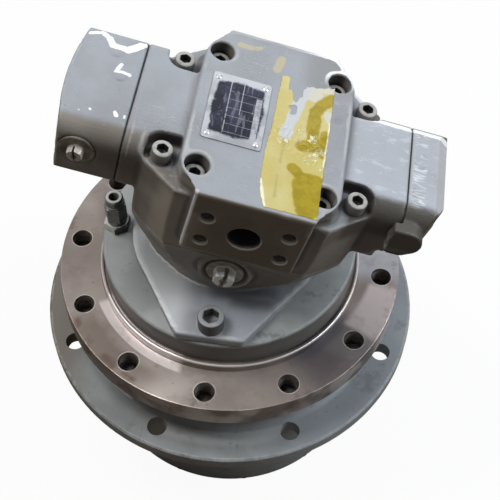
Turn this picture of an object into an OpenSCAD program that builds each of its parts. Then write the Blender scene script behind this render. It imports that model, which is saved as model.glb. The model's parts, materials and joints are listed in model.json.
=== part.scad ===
// Two-stage planetary gear motor that stands on its gearbox, with a two-hole plug-in
// hydraulic motor on top. The motor's head leans over the gearbox, as on a bent-axis unit.
// Z is the gearbox axis, and z = 0 is the bolted face of the bare frame flange.

/* [Frame flange] */
// Radius of the fixed frame flange
frame_r = 125; // [120:1:132]
// Thickness of the fixed frame flange
frame_t = 20; // [16:1:24]
// Radius of the circle of threaded frame holes
frame_hole_circle = 112; // [108:0.5:114]
// Number of threaded frame holes
frame_hole_count = 12; // [8:1:16]
// Core radius of a threaded frame hole
frame_hole_r = 7; // [5:0.5:8]
// Radius of the locating pilot
pilot_r = 95; // [93:0.5:99]
// Height of the locating pilot
pilot_h = 7; // [4:1:10]
// Radius of the painted hub top
hub_top_r = 91; // [86:1:92]
// Height of the painted hub top above the frame face
hub_top_z = 28; // [24:1:34]

/* [Output drum] */
// Reach of the drum's bolting flange beyond the drum's wall
drum_flange_reach = 34; // [30:0.5:44]
// Depth of the drum flange's top face below the frame face
drum_flange_z = 49.5; // [46:0.5:54]
// Thickness of the drum flange
drum_flange_t = 13; // [10:1:16]
// Distance of the drum flange holes from the flange's rim
drum_hole_inset = 15.5; // [13:0.5:17]
// Number of drum flange holes
drum_hole_count = 8; // [6:1:12]
// Radius of a drum flange hole
drum_hole_r = 7; // [5:0.5:8]
// Turn of the hole nearest to the -X side
drum_hole_turn = 29; // [0:1:44]
// Radius of the drum below its flange
drum_r = 106; // [104:1:112]
// Depth of the gearbox foot below the frame face
foot_z = 170; // [168:1:180]
// Thickness of the end cover
end_cover_t = 14; // [11:0.5:15]

/* [Gears] */
// Tooth module
gear_module = 2.5; // [2.5:0.01:2.52]
// Teeth of the ring gear
ring_teeth = 60; // [60]
// Teeth of the output stage's sun
sun_2_teeth = 18; // [18]
// Teeth of the input stage's sun
sun_1_teeth = 12; // [12]
// Face width of the output stage
stage_2_w = 26; // [22:1:27]
// Face width of the input stage
stage_1_w = 14; // [10:1:15]
// Thinning of each tooth for backlash
tooth_play = 0.12; // [0.08:0.01:0.2]

/* [Motor flange and lean] */
// Thickness of the two-hole flange
plate_t = 8; // [7:0.5:10]
// Distance of each flange screw from the axis
plate_screw_y = 80; // [78:0.5:82]
// Half width of a flange lug's end
lug_half_w = 23; // [20:1:26]
// Reach of a flange lug from the axis
lug_reach = 90; // [89:0.5:91]
// Radius of the flange's round middle
plate_r = 69; // [68:0.5:72]
// Radius of the spigot that enters the gearbox
spigot_r = 67.5; // [66:0.5:68]
// Lean of the motor head towards +X
lean = 12.7; // [11:0.1:14]
// Radius of the housing's neck on the flange
neck_r = 50.5; // [48:0.5:54]

/* [Motor head] */
// Height of the head's flat top along the leaning axis
top_z = 122.3; // [120:0.1:126]
// Half width of the top block
block_x = 50; // [48:0.5:51]
// Half depth of the top block
block_y = 60; // [59:0.5:62]
// Height of the screw pockets' floor
pocket_z = 108; // [106:0.5:110]
// Half width of the eight-sided body
body_x = 72; // [70:0.5:76]
// Joint between the housing and the port plate
seam_z = 52; // [50:0.5:56]
// Half depth of the wings
wing_y = 42; // [40:0.5:43]
// Height of the wings' top
wing_z = 118; // [115:0.5:119]
// Shoulder radius of the wings
wing_shoulder = 14; // [10:0.5:16]
// Radius of the left wing's back shoulder
wing_left_back = 4; // [2:0.5:14]
// Depth of the right wing towards the back
wing_right_y = 38; // [36:0.5:42]
// Reach of the left wing to its cap
wing_left_x = 85; // [82:0.5:90]
// Reach of the left cap
cap_left_x = 128.5; // [122:0.5:132]
// Reach of the right wing to its cap
wing_right_x = 91.5; // [88:0.5:94]
// Reach of the right cap
cap_right_x = 117.5; // [114:0.5:120]
// Underside of the left wing and of both caps
wing_foot_z = 75; // [73:0.5:78]
// Underside of the right wing
wing_right_foot_z = 67; // [64:0.5:70]

/* [Ports] */
// Distance of a port face from the leaning axis
port_y = 68; // [66:0.5:70]
// Height of the port centres
port_z = 88.8; // [87:0.1:90]
// Radius of a port bore
port_r = 10; // [8:0.5:11]
// Depth of a port bore
port_depth = 24; // [20:1:26]
// Long spacing of the port screws
port_pitch_long = 50.8; // [50.8]
// Short spacing of the port screws
port_pitch_short = 23.8; // [23.8]
// Core radius of a port screw hole
port_screw_r = 4.25; // [3.5:0.05:4.5]

/* [Hidden] */

// Clearances
slip = 0.05;       // radial clearance of a running or sliding fit
gap = 0.15;        // axial clearance between pieces that turn past each other
facets = 96;       // facets of a large round form
small_facets = 40; // facets of a small round form

// Heights on the gearbox axis
pivot_z = hub_top_z + plate_t;
drum_top_z = -frame_t - 1.5;
seal_split_z = -frame_t - 6;
seal_floor_z = -frame_t - 13;
cone_top_z = -frame_t - 15;
cone_w = 25.5;
spindle_end_z = cone_top_z - 2 * cone_w;
carrier_2_t = 12;
carrier_2_low_z = spindle_end_z - carrier_2_t;
planet_2_top_z = carrier_2_low_z - 1;
planet_2_low_z = planet_2_top_z - stage_2_w;
carrier_1_top_z = planet_2_low_z - 4;
carrier_1_t = 7;
carrier_1_low_z = carrier_1_top_z - carrier_1_t;
planet_1_top_z = carrier_1_low_z - 1;
planet_1_low_z = planet_1_top_z - stage_1_w;
cover_seat_z = -foot_z + 10;
cover_inner_z = -foot_z + end_cover_t;
cup_mid_z = cone_top_z - cone_w;
ring_top_z = carrier_2_low_z + 0.5;
ring_low_z = cover_seat_z + 8;

// Rolling elements of the two main bearings
roller_r = 5.6;
roller_len = 17;
roller_circle = 73.6;
roller_tilt = 14;
roller_count = 22;

// Radii inside the gearbox
seat_r = 60;
brake_bore_r = 50;
sleeve_bore_r = 34;
cup_wall = 8.8;
cup_r = roller_circle + roller_r + cup_wall;
seal_in_r = cup_r + 1;
seal_w = 9;
seal_out_r = seal_in_r + seal_w;
drum_neck_wall = 14;
drum_neck_r = seal_out_r + drum_neck_wall;
drum_flange_r = drum_r + drum_flange_reach;
drum_hole_circle = drum_flange_r - drum_hole_inset;
register_r = drum_r + 2.5;
register_h = 9;
ring_wall = 17;
ring_out_r = gear_module * ring_teeth / 2 + ring_wall;
cover_screw_circle = ring_out_r + 6.5;
cover_screw_count = 12;
cover_screw_turn = 15;
oil_plug_circle = 62;
brake_floor_z = cone_top_z - 8;
spigot_low_z = hub_top_z - 16;
nose_r = 38;
nose_low_z = spigot_low_z - 18;

// Gear sizes
pressure_angle = 20;
addendum = 0.8 * gear_module;
dedendum = 1.04 * gear_module;
planet_2_teeth = (ring_teeth - sun_2_teeth) / 2;
planet_1_teeth = (ring_teeth - sun_1_teeth) / 2;
orbit_2 = gear_module * (sun_2_teeth + planet_2_teeth) / 2;
orbit_1 = gear_module * (sun_1_teeth + planet_1_teeth) / 2;
planet_count = 3;
pin_2_r = 12;
pin_1_r = 9;
pin_head = 2.5;    // reach of a planet pin past its gear
washer_w = 5;      // width of an output planet's thrust washer
carrier_screw_count = 6;
carrier_screw_circle = 47;
carrier_screw_turn = 30;
sun_1_turn = 180 / sun_1_teeth;

// Motor shaft and its bearings
shaft_r = 15;
shaft_cone_r = 19;
shaft_cup_in_r = 27;
shaft_cup_r = 31;
shaft_bearing_w = 16;
shaft_bearing_z = [pivot_z - 21, pivot_z - 39];
drive_flange_low_z = pivot_z - 5;
spline_r = 13;
shaft_low_z = brake_floor_z - 2;
sleeve_r = 28;
sleeve_top_z = nose_low_z - 4;
sleeve_low_z = brake_floor_z - 22;
sun_shaft_r = 9;

// Rotating group of the motor
ball_circle = 25;
ball_r = 5.5;
ball_z = pivot_z + 2;
piston_count = 7;
piston_r = 7.4;
block_r = 36;
block_low_z = pivot_z + 16;
block_high_z = pivot_z + 57;
track_r = 70;
swing_r = 40;
drive_room_r = 36;
lens_x = 26;
lens_y = 45;

// Brake
disc_t = 2;
disc_count = 5;
brake_pack_z = brake_floor_z + (2 * disc_count + 1) * disc_t;
brake_piston_h = 11;
brake_piston_z = brake_pack_z + gap;
spring_low_z = brake_piston_z + brake_piston_h;
spring_h = 5;

// Head details
port_boss_x = 36.5;
port_boss_z = 64;
deep_screw_x = 39.2;
deep_screw_y = 46.8;
pocket_screw_x = 61;
pocket_screw_y = 37.5;
m8_head_r = 6.5;
m8_head_h = 8;
m8_hole_r = 4.5;
m12_head_r = 9;
m12_head_h = 12;
m12_hole_r = 6.75;
counterbore_r = 7.8;
counterbore_depth = 16.5;
lower_z = 34;
body_low_x = 64;
body_low_y = 57;
body_seam_x = 70.5;
body_full_z = 75;
corner_x = 24;
corner_y = 18;
chin_x = -1.5;
chin_z = 34.5;
chin_r = 18;
plug_recess_r = 15;
setting_z = 97;
setting_r = 16;
setting_shift = -setting_z * tan(lean);
cap_plug_x = -111;
cap_plug_z = 98;
cap_plug_r = 12.5;
cap_bow = 5.5;
// Right cap's end: bevel at its top, rise of its underside and cut front corner
cap_bevel_x = 8;
cap_bevel_z = 6;
cap_heel = 16;
cap_cut_x = 10;
cap_cut_y = 18;
// Screws in the right cap
cap_screw_r = 5;
cap_screw_h = 6;
cap_thread_r = 2.95;
boss_x = 97;
boss_z = 101;
boss_r = 11;
boss_y = 50;
gasket_t = 0.6;
union_x = 9.5 - hub_top_r;
union_y = -3;
nameplate_w = 37.4;
nameplate_h = 54;
nameplate_x = -22.8;
nameplate_y = 0.6;
nameplate_t = 0.8;

// Places children on the head's leaning axis, with the pivot at the origin.
module in_head() {
    translate([0, 0, pivot_z]) rotate([0, lean, 0]) children();
}

// Copies children round the Z axis.
module around(count, radius, turn = 0) {
    for (i = [0 : count - 1]) rotate(turn + i * 360 / count) translate([radius, 0, 0]) children();
}

// Copies children to the four corners of a rectangle with half sides x and y.
module corners(x, y) {
    for (sx = [-1, 1], sy = [-1, 1]) translate([sx * x, sy * y, 0]) children();
}

// Ring from z1 up to z2.
module ring(out_r, in_r, z1, z2, fn = facets) {
    translate([0, 0, z1]) difference() {
        cylinder(r = out_r, h = z2 - z1, $fn = fn);
        translate([0, 0, -1]) cylinder(r = in_r, h = z2 - z1 + 2, $fn = fn);
    }
}

// Socket head cap screw with the underside of its head at z = 0.
module cap_screw(head_r, head_h, thread_r, length) {
    difference() {
        union() {
            cylinder(r = head_r, h = head_h, $fn = small_facets);
            translate([0, 0, -length]) cylinder(r = thread_r, h = length + 0.01, $fn = small_facets);
        }
        translate([0, 0, head_h * 0.4]) cylinder(r = thread_r * 0.87, h = head_h, $fn = 6);
    }
}

// Eight-sided outline of the head's body.
function eight_sided(x, y, cx, cy) = [
    [x, cy - y], [x, y - cy], [x - cx, y], [cx - x, y],
    [-x, y - cy], [-x, cy - y], [cx - x, -y], [x - cx, -y]
];

// Points of an arc in the plane, from one angle to another.
function arc(x, y, r, from, to, steps = 8) =
    [for (i = [0 : steps]) let (a = from + (to - from) * i / steps) [x + r * cos(a), y + r * sin(a)]];

// Involute gears
function involute(angle) = tan(angle) - angle * PI / 180;
function flank_half_angle(teeth, r, thin) =
    let (pitch_r = gear_module * teeth / 2,
         base_r = pitch_r * cos(pressure_angle),
         here = r <= base_r ? 0 : acos(base_r / r))
    90 / teeth - thin / 2 / pitch_r * 180 / PI
        + (involute(pressure_angle) - involute(here)) * 180 / PI;
function gear_points(teeth, root_r, tip_r, thin, steps = 3) =
    [for (i = [0 : teeth - 1])
        let (mid = i * 360 / teeth)
        each concat(
            [for (k = [0 : steps])
                let (r = root_r + (tip_r - root_r) * k / steps)
                r * [cos(mid - flank_half_angle(teeth, r, thin)), sin(mid - flank_half_angle(teeth, r, thin))]],
            [for (k = [steps : -1 : 0])
                let (r = root_r + (tip_r - root_r) * k / steps)
                r * [cos(mid + flank_half_angle(teeth, r, thin)), sin(mid + flank_half_angle(teeth, r, thin))]])];

// Gear blank with teeth outside, from z up.
module spur_gear(teeth, bore_r, z, w, turn = 0) {
    pitch_r = gear_module * teeth / 2;
    translate([0, 0, z]) rotate(turn) difference() {
        linear_extrude(w) polygon(gear_points(teeth, pitch_r - dedendum, pitch_r + addendum, tooth_play));
        if (bore_r > 0) translate([0, 0, -1]) cylinder(r = bore_r, h = w + 2, $fn = small_facets * 2);
    }
}

// Turn of a planet at an angle round a sun whose first tooth stands at sun_turn.
function planet_turn(place, sun, planet, sun_turn) =
    place + 180 - (180 - sun * (place - sun_turn)) / planet;

module planet(index, teeth, sun, orbit, sun_turn, pin_r, z, w) {
    place = index * 360 / planet_count;
    rotate(place) translate([orbit, 0, 0]) rotate(-place)
        spur_gear(teeth, pin_r + slip, z, w, planet_turn(place, sun, teeth, sun_turn));
}

// Point of a tapered race: s along the roller's axis, off across it.
function race(mid_z, tilt, s, off) = [
    roller_circle + s * sin(tilt) + off * cos(tilt),
    mid_z + s * cos(tilt) - off * sin(tilt)
];
main_bearings = [[cone_top_z - cone_w / 2, roller_tilt], [cone_top_z - 1.5 * cone_w, -roller_tilt]];

// Gearbox, fixed side
module frame_hub() {
    color("slategray") difference() {
        rotate_extrude($fn = facets * 2) polygon([
            [spigot_r + slip, hub_top_z], [hub_top_r - 1.5, hub_top_z], [hub_top_r, hub_top_z - 1.5],
            [hub_top_r, pilot_h - 2], [hub_top_r + 1, pilot_h - 2], [hub_top_r + 1.5, pilot_h],
            [pilot_r - 1, pilot_h], [pilot_r, pilot_h - 1], [pilot_r, 0], [frame_r - 0.6, 0],
            [frame_r, -0.6], [frame_r, 0.8 - frame_t], [frame_r - 0.8, -frame_t],
            [seat_r + 14, -frame_t], [seat_r + 12, cone_top_z], [seat_r, cone_top_z],
            [seat_r, spindle_end_z], [sleeve_bore_r, spindle_end_z], [sleeve_bore_r, brake_floor_z],
            [brake_bore_r, brake_floor_z], [brake_bore_r, spigot_low_z - 1],
            [spigot_r + slip, spigot_low_z - 1]
        ]);
        around(frame_hole_count, frame_hole_circle) {
            translate([0, 0, 3 - frame_t]) cylinder(r = frame_hole_r, h = frame_t, $fn = small_facets);
        }
        for (side = [-1, 1]) translate([0, side * plate_screw_y, hub_top_z - 22])
            cylinder(r = 6, h = 30, $fn = small_facets);
        translate([union_x, union_y, hub_top_z - 14]) cylinder(r = 5, h = 20, $fn = small_facets);
        around(carrier_screw_count, carrier_screw_circle, carrier_screw_turn) translate([0, 0, spindle_end_z - 1]) cylinder(r = 4, h = 19, $fn = small_facets);
    }
}

module carrier_2() {
    color("gray") difference() {
        ring(seat_r + 8, sleeve_bore_r - 6, carrier_2_low_z, spindle_end_z);
        around(planet_count, orbit_2) translate([0, 0, carrier_2_low_z - 1])
            cylinder(r = pin_2_r, h = carrier_2_t + 2, $fn = small_facets * 2);
        around(carrier_screw_count, carrier_screw_circle, carrier_screw_turn) {
            translate([0, 0, carrier_2_low_z - 1]) cylinder(r = 4.5, h = 20, $fn = small_facets);
            translate([0, 0, carrier_2_low_z - 1]) cylinder(r = 7, h = 6.5, $fn = small_facets);
        }
    }
}

module carrier_2_screws() {
    color("dimgray") around(carrier_screw_count, carrier_screw_circle, carrier_screw_turn) translate([0, 0, carrier_2_low_z + 5.5])
        rotate([180, 0, 0]) cap_screw(m8_head_r, 5, 3.95, 20);
}

module planet_pins_2() {
    color("silver") around(planet_count, orbit_2) translate([0, 0, planet_2_low_z - 2.5])
        cylinder(r = pin_2_r, h = spindle_end_z - planet_2_low_z + 2.5, $fn = small_facets * 2);
}

module planet_washers_2() {
    color("darkgray") around(planet_count, orbit_2) {
        ring(pin_2_r + washer_w, pin_2_r, planet_2_low_z - 2.2, planet_2_low_z - 0.3, small_facets * 2);
        ring(pin_2_r + washer_w, pin_2_r, planet_2_top_z + 0.3, carrier_2_low_z, small_facets * 2);
    }
}

module main_bearing_cones() {
    color("silver") for (b = main_bearings) let (
        low = race(b[0], b[1], -roller_len / 2 - 1, -roller_r - 0.1),
        high = race(b[0], b[1], roller_len / 2 + 1, -roller_r - 0.1))
        rotate_extrude($fn = facets) polygon([
            [seat_r, b[0] - cone_w / 2], [low[0], b[0] - cone_w / 2], low, high,
            [high[0], b[0] + cone_w / 2], [seat_r, b[0] + cone_w / 2]
        ]);
}

module face_seal_fixed() {
    color("dimgray") ring(seal_out_r - slip, seal_in_r, seal_split_z, -frame_t);
}

// Outline of the two-hole flange: two lugs whose sides run out from the round middle.
module flange_outline() {
    reach = sqrt(lug_half_w * lug_half_w + lug_reach * lug_reach);
    corner_angle = atan2(lug_reach, lug_half_w);
    touch = corner_angle - acos(plate_r / reach);
    circle(r = plate_r + 0.3, $fn = facets);
    for (turn = [0, 180]) rotate(turn) polygon([
        [0, 0], plate_r * [cos(touch), sin(touch)], [lug_half_w, lug_reach],
        [-lug_half_w, lug_reach], plate_r * [-cos(touch), sin(touch)]
    ]);
}

// Room that the rotating group swings through, in the head's frame.
module swing_room() {
    intersection() {
        rotate([90, 0, 0]) cylinder(r = track_r, h = 4 * swing_r, center = true, $fn = facets);
        for (swing = [-lean, 0, lean]) rotate([0, swing, 0])
            translate([0, 0, 6]) cylinder(r = swing_r, h = track_r, $fn = facets);
    }
}

module head_slab(x, y, z) {
    translate([0, 0, z]) linear_extrude(0.2) polygon(eight_sided(x, y, corner_x, corner_y));
}

module motor_housing() {
    color("slategray") difference() {
        union() {
            translate([0, 0, hub_top_z]) linear_extrude(plate_t) flange_outline();
            translate([0, 0, spigot_low_z]) cylinder(r = spigot_r, h = hub_top_z - spigot_low_z + 1, $fn = facets);
            translate([0, 0, nose_low_z]) cylinder(r = nose_r, h = hub_top_z - nose_low_z, $fn = facets);
            hull() {
                translate([0, 0, pivot_z - 1]) cylinder(r = neck_r, h = 1, $fn = 32);
                translate([-20, 0, pivot_z - 1]) cylinder(r = neck_r - 12, h = 1, $fn = 32);
                in_head() head_slab(body_low_x, body_low_y, lower_z);
                in_head() head_slab(body_seam_x, block_y, seam_z - 0.2);
            }
            in_head() translate([chin_x, 0, chin_z]) rotate([90, 0, 0])
                cylinder(r = chin_r, h = block_y, $fn = small_facets * 2);
        }
        in_head() swing_room();
        translate([0, 0, drive_flange_low_z]) cylinder(r = drive_room_r, h = 18, $fn = facets);
        translate([0, 0, nose_low_z + 2]) cylinder(r = shaft_cup_r, h = 60, $fn = facets);
        translate([0, 0, nose_low_z - 1]) cylinder(r = shaft_r + 2, h = 10, $fn = small_facets * 2);
        for (side = [-1, 1]) translate([0, side * plate_screw_y, hub_top_z - 1])
            cylinder(r = m12_hole_r, h = plate_t + 2, $fn = small_facets);
        translate([0, 0, hub_top_z - 8]) ring(spigot_r + 1, spigot_r - 3.1, -1.8, 1.8);
        in_head() {
            translate([chin_x, -block_y + 2.5, chin_z]) rotate([90, 0, 0])
                cylinder(r = plug_recess_r, h = 10, $fn = small_facets * 2);
            translate([chin_x, -block_y + 14, chin_z]) rotate([90, 0, 0])
                cylinder(r = 9, h = 20, $fn = small_facets * 2);
            corners(deep_screw_x, deep_screw_y) translate([0, 0, seam_z - 14]) cylinder(r = 4, h = 20, $fn = small_facets);
            corners(pocket_screw_x, pocket_screw_y) translate([0, 0, seam_z - 10]) cylinder(r = 4, h = 20, $fn = small_facets);
        }
    }
}

// Section of a wing across the X axis, as seen along it: Y to the right, Z up.
module wing_section(foot_z, back_r = wing_shoulder, back_y = wing_y) {
    r = wing_shoulder;
    foot_r = 4;
    polygon(concat(
        arc(back_y - back_r, wing_z - back_r, back_r, 0, 90), arc(r - wing_y, wing_z - r, r, 90, 180),
        arc(foot_r - wing_y, foot_z + foot_r, foot_r, 180, 270, 4),
        arc(back_y - foot_r, foot_z + foot_r, foot_r, 270, 360, 4)));
}

// Wing section extruded from x1 to x2.
module wing(x1, x2, foot_z, back_r = wing_shoulder, back_y = wing_y) {
    translate([x1, 0, 0]) rotate([90, 0, 90]) linear_extrude(x2 - x1) wing_section(foot_z, back_r, back_y);
}

// One screw pocket in a wing's root, open to the block and to the nearer side.
module screw_pocket() {
    h = wing_z - pocket_z + 2;
    cylinder(r = 10.5, h = h, $fn = small_facets * 2);
    translate([block_x - pocket_screw_x, -10.5, 0]) cube([pocket_screw_x - block_x, 30, h]);
    translate([block_x - pocket_screw_x, 0, 0]) cube([pocket_screw_x - block_x + 10.5, 30, h]);
}

// Outline of the flat top: a block with cut corners and the two port bosses.
module top_outline() {
    side_y = block_y - 16;
    shoulder_y = block_y - 7;
    polygon([
        [block_x, -side_y], [block_x, side_y], [block_x - 3, shoulder_y], [port_boss_x, block_y],
        [port_boss_x, port_y], [-port_boss_x, port_y], [-port_boss_x, block_y], [3 - block_x, shoulder_y],
        [-block_x, side_y], [-block_x, -side_y], [3 - block_x, -shoulder_y], [-port_boss_x, -block_y],
        [-port_boss_x, -port_y], [port_boss_x, -port_y], [port_boss_x, -block_y], [block_x - 3, -shoulder_y]
    ]);
}

module port_plate() {
    color("slategray") in_head() difference() {
        union() {
            hull() {
                head_slab(body_seam_x, block_y, seam_z);
                head_slab(body_x, block_y, body_full_z);
            }
            translate([0, 0, body_full_z]) linear_extrude(pocket_z - body_full_z)
                polygon(eight_sided(body_x, block_y, corner_x, corner_y));
            translate([0, 0, pocket_z - 1]) linear_extrude(top_z - pocket_z) top_outline();
            translate([0, 0, top_z - 1]) hull() {
                linear_extrude(0.01) top_outline();
                linear_extrude(1) offset(delta = -1) top_outline();
            }
            translate([-port_boss_x, -port_y, port_boss_z])
                cube([2 * port_boss_x, 2 * port_y, pocket_z - port_boss_z]);
            difference() {
                union() {
                    wing(-wing_left_x, -block_x, wing_foot_z, wing_left_back);
                    wing(block_x, wing_right_x - 5, wing_right_foot_z, wing_shoulder, wing_right_y);
                    wing(block_x, wing_right_x, wing_foot_z, wing_shoulder, wing_right_y);
                }
                for (sx = [0, 1], sy = [0, 1]) mirror([sx, 0, 0]) mirror([0, sy, 0])
                    translate([pocket_screw_x, pocket_screw_y, pocket_z]) screw_pocket();
            }
        }
        swing_room();
        for (d = [[41, 14.5, 4, 0.8], [36.8, -23.5, 2.6, 0.5]])
            translate([d[0], d[1], top_z - d[3]]) cylinder(r = d[2], h = 5, $fn = small_facets);
        corners(deep_screw_x, deep_screw_y) {
            translate([0, 0, seam_z - 1]) cylinder(r = m8_hole_r, h = 80, $fn = small_facets);
            translate([0, 0, top_z - counterbore_depth]) cylinder(r = counterbore_r, h = 30, $fn = small_facets * 2);
        }
        corners(pocket_screw_x, pocket_screw_y)
            translate([0, 0, seam_z - 1]) cylinder(r = m8_hole_r, h = 80, $fn = small_facets);
        for (turn = [0, 180]) rotate(turn) translate([0, -port_y, port_z]) {
            rotate([-90, 0, 0]) translate([0, 0, -1]) cylinder(r = port_r, h = port_depth + 1, $fn = small_facets * 2);
            for (sx = [-1, 1], sz = [-1, 1])
                translate([sx * port_pitch_long / 2, -1, sz * port_pitch_short / 2]) rotate([-90, 0, 0])
                    cylinder(r = port_screw_r, h = 19, $fn = small_facets);
        }
        for (side = [-1, 1]) translate([0, side * (port_y - port_depth - 12), track_r - 6])
            cylinder(r = 6, h = port_z - track_r + 6, $fn = small_facets);
        for (side = [-1, 1]) translate([0, side * (port_y - port_depth + 1), port_z]) rotate([side * 90, 0, 0])
            cylinder(r = 6, h = 13, $fn = small_facets);
        translate([-wing_left_x - 1, 0, setting_z]) rotate([0, 90, 0])
            cylinder(r = setting_r, h = wing_left_x + wing_right_x + 2, $fn = facets);
        translate([-32, -6.5, track_r - 6]) cube([64, 13, setting_z - track_r + 6]);
        cap_screw_places(-1) translate([0, 0, -42]) cylinder(r = 4, h = 60, $fn = small_facets);
        cap_screw_places(1) translate([0, 0, -33]) cylinder(r = cap_thread_r + 0.05, h = 50, $fn = small_facets);
    }
}

// Cap on the left wing, with a bowed end and a plug in its front.
module end_cap_left() {
    bow_r = (wing_y * wing_y + cap_bow * cap_bow) / (2 * cap_bow);
    color("slategray") in_head() difference() {
        union() {
            intersection() {
                wing(-cap_left_x, -wing_left_x - gasket_t, wing_foot_z, wing_left_back);
                translate([bow_r - cap_left_x, 0, 0]) cylinder(r = bow_r, h = 200, $fn = 240);
            }
            for (p = [[-96.6, 7.3], [-103.2, 25.6]]) translate([p[0], p[1], wing_z - 1])
                cylinder(r = 3.8, h = 1.8, $fn = small_facets);
        }
        translate([-wing_left_x - 12, 0, setting_z]) rotate([0, 90, 0]) cylinder(r = setting_r, h = 20, $fn = facets);
        translate([cap_plug_x, 1.5 - wing_y, cap_plug_z]) rotate([90, 0, 0])
            cylinder(r = cap_plug_r, h = 6, $fn = small_facets * 2);
        translate([cap_plug_x, 9.5 - wing_y, cap_plug_z]) rotate([90, 0, 0])
            cylinder(r = 8, h = 12, $fn = small_facets * 2);
        cap_screw_places(-1) {
            translate([0, 0, -70]) cylinder(r = m8_hole_r, h = 90, $fn = small_facets);
            cylinder(r = m8_head_r + 0.8, h = 30, $fn = small_facets);
        }
    }
}

// Cap on the right wing, with a bevelled end and a low boss on its front.
module end_cap_right() {
    color("slategray") in_head() difference() {
        union() {
            intersection() {
                wing(wing_right_x + gasket_t, cap_right_x, wing_foot_z, wing_shoulder, wing_right_y);
                rotate([90, 0, 0]) linear_extrude(3 * wing_y, center = true) polygon([
                    [0, 0], [wing_right_x + 8, wing_foot_z], [cap_right_x, wing_foot_z + cap_heel],
                    [cap_right_x, wing_z - cap_bevel_z], [cap_right_x - cap_bevel_x, wing_z], [0, wing_z]
                ]);
                linear_extrude(200) polygon([
                    [0, -wing_y], [cap_right_x - cap_cut_x, -wing_y], [cap_right_x, cap_cut_y - wing_y],
                    [cap_right_x, wing_y], [0, wing_y]
                ]);
            }
            difference() {
                rotate([90, 0, 0]) linear_extrude(boss_y) union() {
                    translate([boss_x, boss_z]) circle(r = boss_r, $fn = small_facets * 2);
                    translate([boss_x - boss_r + 1, boss_z - boss_r]) square([boss_r, 2 * boss_r]);
                }
                translate([0, -wing_y - 0.3, 0]) cube([wing_right_x + gasket_t, 2 * wing_y, 200]);
            }
        }
        translate([wing_right_x - 1, 0, setting_z]) rotate([0, 90, 0]) cylinder(r = setting_r, h = 10, $fn = facets);
        cap_screw_places(1) {
            translate([0, 0, -40]) cylinder(r = cap_thread_r + 0.45, h = 60, $fn = small_facets);
            cylinder(r = cap_screw_r + 0.5, h = 30, $fn = small_facets);
        }
    }
}

// Places of the four screws in a cap's end, pointing outwards. The seat is at z = 0.
module cap_screw_places(side) {
    left = [[cap_left_x - 12, 28, 83.5], [cap_left_x - 12, 28, 109.5]];
    right = [[wing_right_x + 9.5, 19, 81], [cap_right_x - 7.5, 21.5, 101]];
    for (sy = [-1, 1], p = side < 0 ? left : right)
        translate([side * p[0], sy * p[1], p[2]]) rotate([0, side * 90, 0]) children();
}

module cap_gaskets() {
    color("black") in_head() for (side = [-1, 1]) difference() {
        x = side < 0 ? -wing_left_x - gasket_t : wing_right_x;
        wing_gasket(x, side < 0 ? wing_left_back : wing_shoulder, side < 0 ? wing_y : wing_right_y);
        translate([x - 1, 0, setting_z]) rotate([0, 90, 0]) cylinder(r = setting_r, h = gasket_t + 2, $fn = facets);
        cap_screw_places(side) translate([0, 0, -70]) cylinder(r = m8_hole_r, h = 90, $fn = small_facets);
    }
}
module wing_gasket(x, back_r, back_y) {
    translate([x, 0, 0]) rotate([90, 0, 90]) linear_extrude(gasket_t)
        offset(delta = -0.6) wing_section(wing_foot_z, back_r, back_y);
}

module cap_screws() {
    color("gray") in_head() {
        cap_screw_places(-1) cap_screw(m8_head_r, m8_head_h, 3.95, 40);
        cap_screw_places(1) cap_screw(cap_screw_r, cap_screw_h, cap_thread_r, 30);
    }
}

module head_screws_deep() {
    color("gray") in_head() corners(deep_screw_x, deep_screw_y)
        translate([0, 0, top_z - counterbore_depth]) cap_screw(m8_head_r, m8_head_h, 3.95, top_z - counterbore_depth - seam_z + 12);
}

module head_screws_pocket() {
    color("gray") in_head() corners(pocket_screw_x, pocket_screw_y)
        translate([0, 0, pocket_z]) cap_screw(m8_head_r, m8_head_h, 3.95, pocket_z - seam_z + 9);
}

module flange_screws() {
    color("gray") for (side = [-1, 1]) translate([0, side * plate_screw_y, pivot_z])
        cap_screw(m12_head_r, m12_head_h, 5.9, plate_t + 20);
}

// Slotted hexagon plug with a dished round flange. It points along -Y, its flange seated at y = 0.
module slotted_plug(flange_r, flange_t, hex_flat, hex_h, slot_w, thread_r, thread_len) {
    rim = 1.4;
    dish = 0.7;
    rotate([90, 0, 0]) difference() {
        union() {
            translate([0, 0, -thread_len]) cylinder(r = thread_r, h = thread_len + 0.01, $fn = small_facets * 2);
            difference() {
                cylinder(r = flange_r, h = flange_t, $fn = small_facets * 2);
                translate([0, 0, flange_t - dish]) cylinder(r = flange_r - rim, h = 2, $fn = small_facets * 2);
            }
            cylinder(r = hex_flat / 2 / cos(30), h = flange_t + hex_h, $fn = 6);
        }
        translate([-slot_w / 2, -hex_flat, flange_t + hex_h * 0.3]) cube([slot_w, 2 * hex_flat, hex_h]);
    }
}

module housing_plug() {
    color("gray") in_head() translate([chin_x, 2.5 - block_y, chin_z])
        slotted_plug(12.5, 2, 13, 7, 2.6, 8.9, 10);
}

module cap_plug() {
    color("gray") in_head() translate([cap_plug_x, 1.5 - wing_y, cap_plug_z])
        slotted_plug(11.6, 1.5, 9, 5, 0.8, 7.9, 7);
}

// Straight union that stands on the hub top and leads to the brake.
module union_nut() {
    color("darkslategray") translate([union_x, union_y, hub_top_z]) difference() {
        union() {
            cylinder(r = 17 / 2 / cos(30), h = 7, $fn = 6);
            translate([0, 0, -10]) cylinder(r = 4.9, h = 11, $fn = small_facets);
        }
        translate([0, 0, -11]) cylinder(r = 3.6, h = 30, $fn = small_facets);
    }
}

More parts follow.
